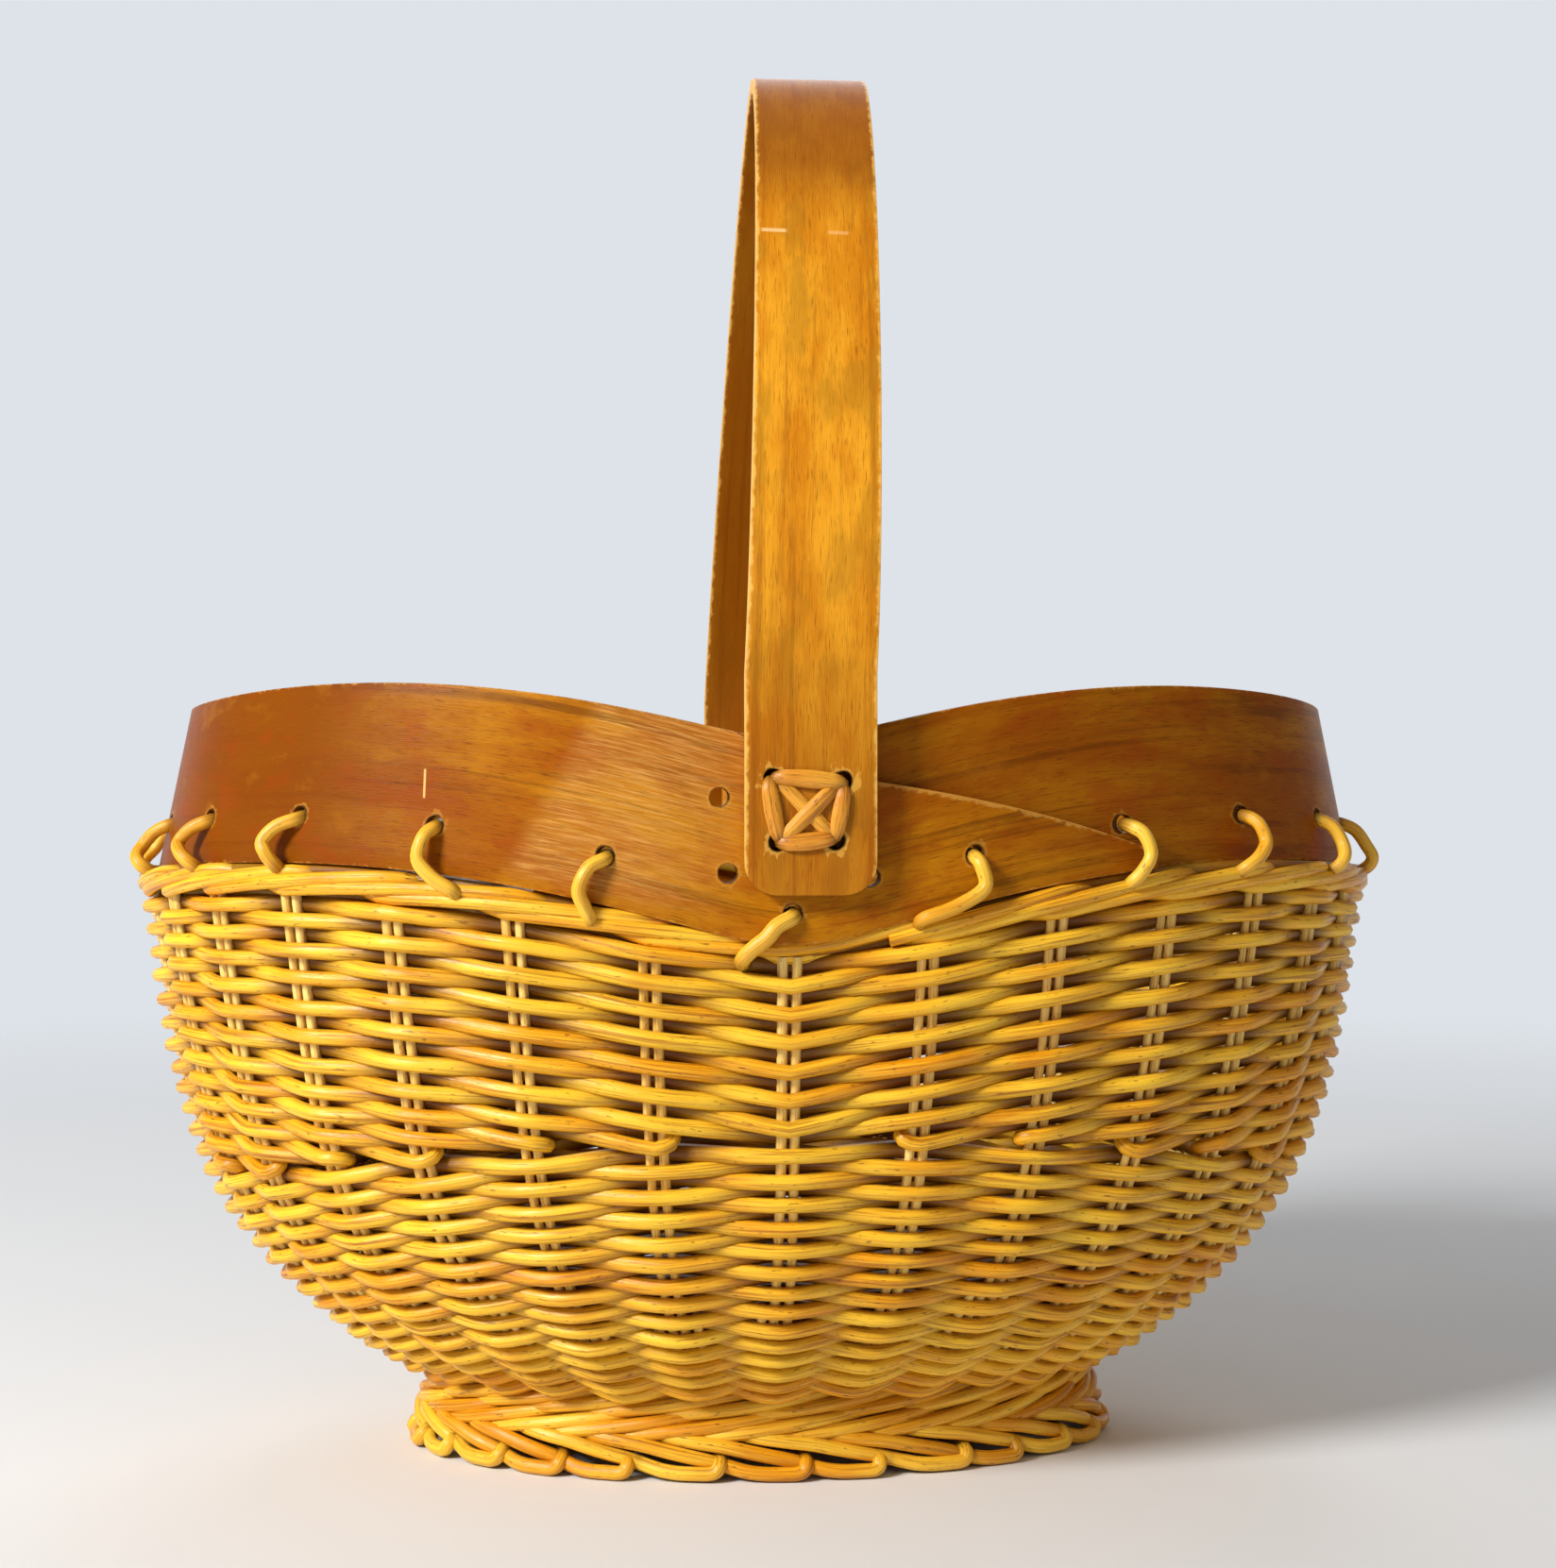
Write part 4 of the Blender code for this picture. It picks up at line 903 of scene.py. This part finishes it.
def handlePoint(u, v):
    # the first and last rows go round the corners of the feet
    turn = np.clip(np.minimum(u, 1 - u) / handle["cornerRows"], 0, 1) * pi / 2
    corner = handle["corner"]
    cornerShare = handle["legShare"] / 2 * corner / (handle["spring"] - handle["foot"])
    rest = np.clip((np.minimum(u, 1 - u) - handle["cornerRows"]) / (0.5 - handle["cornerRows"]), 0, 1)
    share = mix(cornerShare, 0.5, rest) - cornerShare * np.cos(turn)
    y, z = handleLine(np.where(u < 0.5, share, 1 - share))
    half = handle["wide"] / 2 - corner * (1 - np.sin(turn))
    return np.stack([handleShift(z) + (1 - 2 * v) * half, y, z], -1)


strap = gridMesh(handle["rows"], handle["columns"], handlePoint)
thicken(strap, handle["thick"], handle["edge"], 3)
handleMesh = drilled(strap, "handleStrap", tieHoles, tie["holeRadius"], handle["drill"])
spots = spotsOf(handleMesh)
line = np.stack(handleLine(np.linspace(0, 1, 800)), -1)
lengths = np.concatenate([[0.0], np.cumsum(np.linalg.norm(np.diff(line, axis=0), axis=1))])
closest = np.array([np.argmin(((line - spot) ** 2).sum(1)) for spot in spots[:, 1:]])
across = spots[:, 0] - handleShift(spots[:, 2])
depth = np.linalg.norm(line[closest] - spots[:, 1:], axis=1)
addValues(handleMesh, woodPlace=np.stack([lengths[closest], across, depth], -1),
          woodEdge=handle["wide"] / 2 - np.abs(across))
print("handle strap made")


woodLooks = {
    # colours: light, middle, dark, the brown parts, partly painted shade, mottles, chips, pale edges, partly
    # worn and partly painted highlight, marks
    "band": {
        "light": (184, 116, 8), "middle": (158, 84, 2), "dark": (76, 34, 1), "brownAndShade": (120, 58, 1),
        "mottles": ((146, 56, 6), (190, 122, 24)), "satin": (230, 174, 92),
        "chips": (206, 148, 60), "edgeWearAndHighlight": (214, 158, 72), "mark": (236, 190, 110),
        # in degrees round the band: the brown left, rear, right and tip, of which the right and the tip are
        # painted shade, and the ends of the painted sheen patch
        "brownAndShadeReaches": ((250.0, 222.0), (60.0, 150.0), (0.0, -50.0), (284.0, 300.0)),
        "paintedSheenEnds": ((244.2, 247.0), (266.0, 254.0)),
        "scratch": (237.315, 20.5),         # degrees, height
        # chips, hole shade and pale edges: how ragged, where they start and are full, how strong
        "chipping": (4.0, 3.3, 2.6, 0.4), "holeShading": (3.2, 2.6), "edgeWearAndHighlightReach": (3.2, 2.1, 1.2, 0.55),
        "grain": 0.24, "rough": 0.27, "specular": 0.08,
    },
    "handle": {
        "light": (230, 158, 34), "middle": (208, 130, 18), "dark": (140, 76, 5), "brownAndShade": (132, 62, 2),
        "mottles": ((170, 116, 22), (196, 112, 10)),
        "chips": (230, 176, 78), "edgeWearAndHighlight": (240, 186, 92), "mark": (244, 196, 130),
        # in height: the painted shade over the crown, the brown feet, and the two marks, which stand this far
        # across the strap
        "brownAndShadeReaches": ((312.0, 334.0), (235.0, 158.0)), "marksHigh": 310.2, "marks": (-10.6, 5.2),
        "chipping": (8.0, 3.7, 2.9, 0.55), "holeShading": (3.1, 2.6), "edgeWearAndHighlightReach": (2.6, 2.3, 1.3, 0.8),
        "grain": 0.2, "rough": 0.3, "specular": 0.12,
    },
    "holeShade": (44, 20, 4), "bump": 0.00012,
}


def woodColour(bench, look):
    # varnished bentwood: soft clouds, faint bands and short dark pores along the grain
    grain = look["grain"]
    clouds = bench.noise("woodPlace", (0.02, 0.07, 0.07), (7.0, 2.0, 9.0), 4.0, 0.6)
    bands = bench.noise("woodPlace", (0.008, 0.34, 0.3), (3.0, 5.0, 1.0), 4.0, 0.6)
    pores = bench.noise("woodPlace", (grain, 3.6, 1.0), (0.0, 0.0, 0.0), 3.0, 0.55)
    fine = bench.noise("woodPlace", (grain * 0.35, 7.0, 2.0), (2.0, 2.0, 2.0), 2.0, 0.5)
    colour = bench.blend(clouds.between(0.38, 0.6), look["middle"], look["light"])
    colour = bench.blend(bands.between(0.5, 0.68) * 0.55, colour, look["dark"])
    colour = bench.blend(pores.between(0.56, 0.68) * 0.65, colour, look["dark"])
    colour = bench.blend(fine.between(0.5, 0.7) * 0.25, colour, look["dark"])
    return colour, pores, fine


def woodWearAndPaintedLight(bench, look, colour, holes, edge, ragged):
    # pale chips round the holes, painted shade inside the holes and just round them, and pale edges, partly
    # worn and partly painted highlight
    swing, start, full, share = look["chipping"]
    chips = (holes + ragged * swing - swing / 2).between(start, full)
    colour = bench.blend(chips * share, colour, look["chips"])
    # painted shade inside and round the holes, where the reeds go in
    colour = bench.blend((holes + ragged).between(*look["holeShading"]) * 0.9, colour, woodLooks["holeShade"])
    # pale broken edges: partly worn varnish, partly painted highlight along the rounded edges
    swing, start, full, share = look["edgeWearAndHighlightReach"]
    return bench.blend((edge + ragged * swing).between(start, full) * share, colour, look["edgeWearAndHighlight"])


def woodFinish(bench, look, colour, pores, fine):
    return bench.finish(colour, pores * 0.2 + look["rough"], pores * 0.5 + fine * 0.4, woodLooks["bump"],
                        **{"Specular IOR Level": look["specular"]})


def bandFinish():
    bench, look = Bench("bandWood"), woodLooks["band"]
    colour, pores, fine = woodColour(bench, look)
    degrees, edge, speed = map(bench.value, ("woodDegrees", "woodEdge", "woodSpeed"))
    height = bench.split(bench.place("woodPlace"))[1]
    x, y, z = bench.split(bench.add("ShaderNodeTexCoord", out=3))
    ragged = bench.noise("woodPlace", (0.5, 0.5, 0.5), (1.0, 8.0, 2.0), 3.0, 0.6)
    # browner at the left end; less at the right and at the tip, where it is painted shade, darker away from
    # the light on the left
    left, rear, right, tip = (degrees.between(*reach) for reach in look["brownAndShadeReaches"])
    brownAndShade = (left * rear.most(right * 0.45)).most(tip * 0.25)
    colour = bench.blend(brownAndShade * 0.9, colour, look["brownAndShade"])
    # soft mottling of the varnish
    mottle = bench.noise("woodPlace", (0.06, 0.09, 0.09), (3.0, 8.0, 2.0), 5.0, 0.65)
    red, pale = look["mottles"]
    colour = bench.blend(mottle.between(0.48, 0.64) * 0.4, colour, red)
    colour = bench.blend(mottle.between(0.46, 0.3) * 0.2, colour, pale)
    # painted sheen: a pale patch of reflected light on the varnish, left of the handle
    slant = degrees - height * 0.17
    first, last = look["paintedSheenEnds"]
    satin = slant.between(*first) * slant.between(*last) * height.between(0.0, 6.0)
    glints = bench.noise("woodPlace", (0.1, 1.7, 1.0), (5.0, 3.0, 8.0), 4.0, 0.65)
    colour = bench.blend(satin * (glints.between(0.4, 0.7) * 0.45 + 0.1), colour, look["satin"])
    # distance to the nearest hole; the lacing hole under the handle is lower than the others
    step = 360.0 / lacing["stitches"]
    aside = (degrees - lacing["phase"] + 3600.0).math("PINGPONG", step / 2) * speed
    lower = lacing["rise"] - lacing["riseAtHandle"]
    rise = lacing["rise"] - (degrees - (360.0 + lacing["phase"])).size().between(7.8, 7.6) * lower
    holes = (aside ** 2.0 + (height - rise) ** 2.0) ** 0.5
    for holeX, holeZ in oldHoles:
        front = ((x / mm - holeX) ** 2.0 + (z / mm - holeZ) ** 2.0) ** 0.5 + y.between(-0.06, 0.0) * 90.0
        holes = holes.least(front)
    colour = woodWearAndPaintedLight(bench, look, colour, holes, edge, ragged)
    # a scratch
    place, high = look["scratch"]
    mark = (degrees - place + (height - high) * 0.03).size().between(0.16, 0.06)
    mark = mark * (height - high).size().between(3.6, 3.0)
    colour = bench.blend(mark * 0.85, colour, look["mark"])
    return woodFinish(bench, look, colour, pores, fine)


def handleFinish():
    bench, look = Bench("handleWood"), woodLooks["handle"]
    colour, pores, fine = woodColour(bench, look)
    edge = bench.value("woodEdge")
    across, depth = bench.split(bench.place("woodPlace"))[1:]
    x, y, z = bench.split(bench.add("ShaderNodeTexCoord", out=3))
    height = z / mm
    ragged = bench.noise("woodPlace", (0.35, 0.5, 0.5), (1.0, 8.0, 2.0), 3.0, 0.6)
    # olive and red blotches; painted shade over the crown, where the face turns away from the light, and
    # browner toward the feet, underneath and at the rear
    blotch = bench.noise("woodPlace", (0.045, 0.11, 0.1), (1.0, 4.0, 2.0), 3.0, 0.5)
    olive, red = look["mottles"]
    colour = bench.blend(blotch.between(0.5, 0.64) * 0.5, colour, olive)
    colour = bench.blend(blotch.between(0.44, 0.32) * 0.45, colour, red)
    crownShade, feet = (height.between(*reach) for reach in look["brownAndShadeReaches"])
    brownAndShade = crownShade.most(feet * 0.75).most(depth.between(2.0, 3.6)).most(y.between(0.0, 0.06))
    colour = bench.blend(brownAndShade * 0.74, colour, look["brownAndShade"])
    # distance to the nearest of the four holes of the tie
    holes = None
    for cornerX, _, cornerZ in tieCorners(-1):
        corner = ((x / mm - cornerX) ** 2.0 + (height - cornerZ) ** 2.0) ** 0.5
        holes = holes.least(corner) if holes else corner
    colour = woodWearAndPaintedLight(bench, look, colour, holes, edge, ragged)
    # two old marks across the front
    left, right = look["marks"]
    marks = (across - left).size().between(3.6, 2.4).most((across - right).size().between(3.0, 2.0) * 0.45)
    line = (height - look["marksHigh"] + across * 0.03).size().between(0.7, 0.3)
    colour = bench.blend(line * y.between(0.0, -0.05) * marks * 0.85, colour, look["mark"])
    return woodFinish(bench, look, colour, pores, fine)


placePiece("rimBand", bandMesh, bandFinish(), ["rim_band"])
placePiece("handleStrap", handleMesh, handleFinish(), ["handle"])


# Lacing: one round reed through every hole of the band and under the top border

def bend(places, steps):
    # a smooth line through given places
    places = np.asarray(places, float)
    padded = np.concatenate([[2 * places[0] - places[1]], places, [2 * places[-1] - places[-2]]])
    line = []
    for i in range(len(places) - 1):
        one, two, three, four = padded[i:i + 4]
        for t in np.arange(steps) / steps:
            line.append(0.5 * (2 * two + (three - one) * t + (2 * one - 5 * two + 4 * three - four) * t ** 2
                               + (3 * two - one - 3 * three + four) * t ** 3))
    return np.array(line + [places[-1]])


stitchLook = {
    # stitch: sideways and outward at mid height, sideways at the low end, how far down that is
    0: (-6.0, 1.9, -11.0, 10.7), 1: (1.2, 2.8, -12.5, 15.4), 2: (2.6, 3.2, -1.2, 14.2),
    3: (0.6, 3.2, -6.2, 13.6), 4: (1.2, 3.6, -2.0, 13.4), 5: (0.5, 3.8, 1.0, 13.0),
    18: (-2.5, 3.6, 1.5, 12.0), 19: (-4.9, 3.4, 1.0, 11.8), 20: (-6.9, 3.4, -4.2, 12.2),
    21: (-2.3, 3.2, 5.6, 15.8), 22: (-5.6, 3.0, -3.4, 14.8),
}
stitchGuess = ((-3, 3), (2.8, 3.8), (-4, 4), (13, 15))      # limits for those that the front hides
up = np.array([0.0, 0.0, 1.0])


def stitchPath(k, side, out, lowSide, drop):
    # out of a hole, down over the border, under it and up inside to the next hole
    hole, normal = stitchHole(k, 0.0)
    around = np.array([-normal[1], normal[0], 0.0])
    angle = np.array([stitchAngle(k)])
    edge = bandLow(angle)[0]
    borderFace = bowlPoint(angle, np.array([edge - lacing["belowBand"]]), np.array([0.0]))[0][0]
    reach = (borderFace - hole) @ normal
    fall = hole[2] - edge
    nextHole, nextNormal = stitchHole(k + 1, 0.0)
    nextAround = np.array([-nextNormal[1], nextNormal[0], 0.0])
    lapped = stitchAngle(k + 1) < radians(strip["lapEnd"] - 4)      # the band is double there
    inside = strip["thick"] + lacing["behindBand"] + (lapDepth if lapped else 0.0)
    return bend([
        hole - normal * 3.4 - up * 0.2,
        hole + normal * 0.3 - up * 0.7,
        hole + normal * (out * 0.9 + reach * 0.1) + around * side * 0.6 - up * 2.6,
        hole + normal * (out + reach * 0.45) + around * side - up * drop * 0.5,
        hole + normal * (reach + 1.7) + around * mix(side, lowSide, 0.5) - up * (drop - 3.4),
        hole + normal * (reach + 0.5) + around * lowSide - up * (drop - 0.9),
        hole + normal * (reach - 3.0) + around * lowSide - up * (drop + 0.6),
        hole + normal * (reach - 8.4) + around * lowSide * 0.6 - up * (drop - 1.0),
        mix(hole, nextHole, 0.4) - (normal + nextNormal) / 2 * (inside + 2.6) - up * fall * 0.5,
        nextHole - nextNormal * (inside + 0.6) - nextAround * 3.0 - up * 1.5,
        nextHole - nextNormal * (inside - 0.6) + up * 0.2,
    ], 5)


stitchDice = np.random.default_rng(23)
lacingStrands = []
for k in range(lacing["stitches"]):
    guess = [stitchDice.uniform(*limits) for limits in stitchGuess]
    path = stitchPath(k, *stitchLook.get(k, guess))
    at = np.arange(len(path))
    # the tucked values paint shade where the reed is in the holes, under the border and inside the band
    tucked = np.interp(at, [0, 5, 8, 20, 24, 30, len(path)], [1, 0.6, 0.1, 0.0, 0.3, 0.9, 0.6])
    radius = lacing["radius"] + wander(len(path), 12, lacing["uneven"], 7000 + k)
    radius = radius + (lacing["frontExtra"] if k == 0 else 0.0)
    lacingStrands.append(strand(path, radius, tucked))
reedPiece("rimLacing", lacingStrands, lacingReed, ["rim_lacing"], sides=10)


# Ties of the handle: flattened reeds round and across a square of holes

tieBars = (
    # from, to (across and up from the middle of the square), outward, half width, bow
    ((-6.0, 6.0), (5.9, -6.2), 0.35, 1.8, 0.0),
    ((6.2, 5.4), (-5.5, -6.4), 0.8, 1.95, 0.0),
    ((-8.6, 6.2), (-6.3, -6.3), 0.7, 2.05, -0.5),
    ((8.0, 4.8), (6.0, -6.2), 0.7, 1.95, 0.3),
    ((-7.0, 7.0), (7.7, 5.8), 0.8, 2.15, 0.5),
    ((-5.8, -7.4), (5.5, -6.3), 0.8, 2.15, -0.3),
)


def tieBar(start, end, lift, half, bow, side):
    # out of one hole, flat over the handle and into another
    ends = [np.array([tie["x"] + across, side * handle["span"], tieMiddle + rise])
            for across, rise in (start, end)]
    out, along = np.array([0.0, side, 0.0]), ends[1] - ends[0]
    aside = np.array([-along[2], 0.0, along[0]]) / np.linalg.norm(along) * bow
    places = [ends[0] - out * 3.4, ends[0] - out * 0.5]
    places += [mix(*ends, share) + out * lift * rise + aside * rise
               for share, rise in ((0.13, 0.8), (0.35, 1.0), (0.65, 1.0), (0.87, 0.8))]
    places += [ends[1] - out * 0.5, ends[1] - out * 3.4]
    path = bend(places, 4)
    share = np.linspace(0, 1, len(path))
    # the tucked values paint shade at both ends, where the bar goes into its holes
    tucked = np.interp(share, [0, 0.22, 0.4, 0.6, 0.78, 1], [1, 0.5, 0.05, 0.05, 0.5, 1])
    width = half * np.interp(share, [0, 0.25, 0.5, 0.75, 1], [0.7, 0.85, 1.0, 0.85, 0.7])
    return strand(path, width, tucked, out, 0.48)


def innerBar(x, side, inner):
    # flat against the inside of the band, from a low hole to the high one
    places = [(x, side * (inner - back), z) for back, z in (
        (-4.0, tie["low"]), (0.8, tie["low"] + 1.0), (1.2, tieMiddle),
        (0.8, tie["high"] - 1.0), (-4.0, tie["high"]))]
    return strand(bend(places, 5), tie["innerRadius"], 0.2, np.array([0.0, side, 0.0]), 0.7)


for name, node, side in (("tieFront", "handle_tie_front", -1), ("tieRear", "handle_tie_rear", 1)):
    inner = bandShape["deep"] - strip["thick"] - 0.4 - (lapDepth if side < 0 else 0.0)
    tieStrands = [tieBar(*bar, side) for bar in tieBars]
    tieStrands += [innerBar(tie["x"] + across, side, inner) for across in (-tie["half"], tie["half"])]
    reedPiece(name, tieStrands, tieReed, [node], sides=10)


# Floor, lights and camera

stage = {
    "colour": tint(228, 231, 236), "glow": tint(222, 227, 233), "near": 0.25, "far": 1.3,
    "wide": 6.0, "front": 3.0, "back": 1.6, "radius": 0.9, "high": 2.4,
}
lamps = {
    # name: place, aim, size, power, colour
    "keyLight": ((-1.22, -0.94, 1.0), (0.0, 0.0, 0.14), 0.5, 37.0, (1.0, 0.98, 0.94)),
    "fillLight": ((1.3, -1.0, 0.9), (0.0, 0.0, 0.15), 1.2, 0.8, (1.0, 0.74, 0.4)),
    "rearLight": ((0.2, 1.3, 1.3), (0.0, 0.0, 0.12), 1.0, 6.0, (1.0, 1.0, 1.0)),
}
studio = {"colour": (1.0, 0.96, 0.9, 1.0), "strength": 0.26}
view = {
    "lens": 2457 / 1661 * 36,       # fitted to the photo: 2457 of the pixels that are 1661 to its height
    "sensor": 36, "place": (-0.0426, -0.6286, 0.175), "turn": -4.3,
}

# the floor sweeps up behind the basket in one sheet, so no corner shows
sweepMesh = bpy.data.meshes.new("floor")
bm = bmesh.new()
left = -stage["wide"] / 2
profile = [bm.verts.new((left, -stage["front"], 0.0)), bm.verts.new((left, stage["back"], 0.0))]
spun = bmesh.ops.spin(bm, geom=[profile[1]], cent=(left, stage["back"], stage["radius"]),
                      axis=(1, 0, 0), angle=radians(90), steps=24)
last = spun["geom_last"][0]
bm.edges.new(profile)
bm.edges.new((last, bm.verts.new((last.co.x, last.co.y, stage["high"]))))
sheet = bmesh.ops.extrude_edge_only(bm, edges=bm.edges[:])
bmesh.ops.translate(bm, vec=(stage["wide"], 0, 0),
                    verts=[item for item in sheet["geom"] if isinstance(item, bmesh.types.BMVert)])
bmesh.ops.recalc_face_normals(bm, faces=bm.faces)
bm.to_mesh(sweepMesh)
bm.free()
sweepMesh.shade_smooth()
floor = bpy.data.objects.new("floor", sweepMesh)
bpy.context.collection.objects.link(floor)

# away from the basket the camera sees an even pale tone, and so do reflections
paper = Bench("floorPaper")
shade = paper.add("ShaderNodeBsdfPrincipled", None, {"Base Color": stage["colour"], "Roughness": 0.9})
glow = paper.add("ShaderNodeEmission", None, {"Color": stage["glow"], "Strength": 1.0})
direct, glossy, through = (paper.add("ShaderNodeLightPath", out=ray)
                           for ray in ("Is Camera Ray", "Is Glossy Ray", "Is Transmission Ray"))
place = paper.add("ShaderNodeTexCoord", out=3)
away = paper.add("ShaderNodeVectorMath", {"operation": "LENGTH"}, {0: place}, out=1)
share = direct.most(glossy).most(through) * away.between(stage["near"], stage["far"])
surface = paper.add("ShaderNodeMixShader", None, {0: share, 1: shade, 2: glow})
paper.add("ShaderNodeOutputMaterial", None, {"Surface": surface})
sweepMesh.materials.append(paper.material)

for name, (place, aim, size, power, colour) in lamps.items():
    data = bpy.data.lights.new(name, "AREA")
    data.shape = "DISK"
    data.size = size
    data.energy = power
    data.color = colour
    lamp = bpy.data.objects.new(name, data)
    lamp.location = place
    lamp.rotation_euler = (Vector(aim) - Vector(place)).to_track_quat("-Z", "Y").to_euler()
    bpy.context.collection.objects.link(lamp)

world = bpy.data.worlds.new("studio")
bpy.context.scene.world = world
world.use_nodes = True
background = world.node_tree.nodes["Background"]
background.inputs["Color"].default_value = studio["colour"]
background.inputs["Strength"].default_value = studio["strength"]

cameraData = bpy.data.cameras.new("photoView")
cameraData.lens = view["lens"]
cameraData.sensor_width = view["sensor"]
cameraData.clip_start = 0.01
camera = bpy.data.objects.new("photoView", cameraData)
camera.location = view["place"]
camera.rotation_euler = (radians(90), 0, radians(view["turn"]))
bpy.context.collection.objects.link(camera)
bpy.context.scene.camera = camera
bpy.context.scene.view_settings.view_transform = "Standard"
print("stage and camera made")
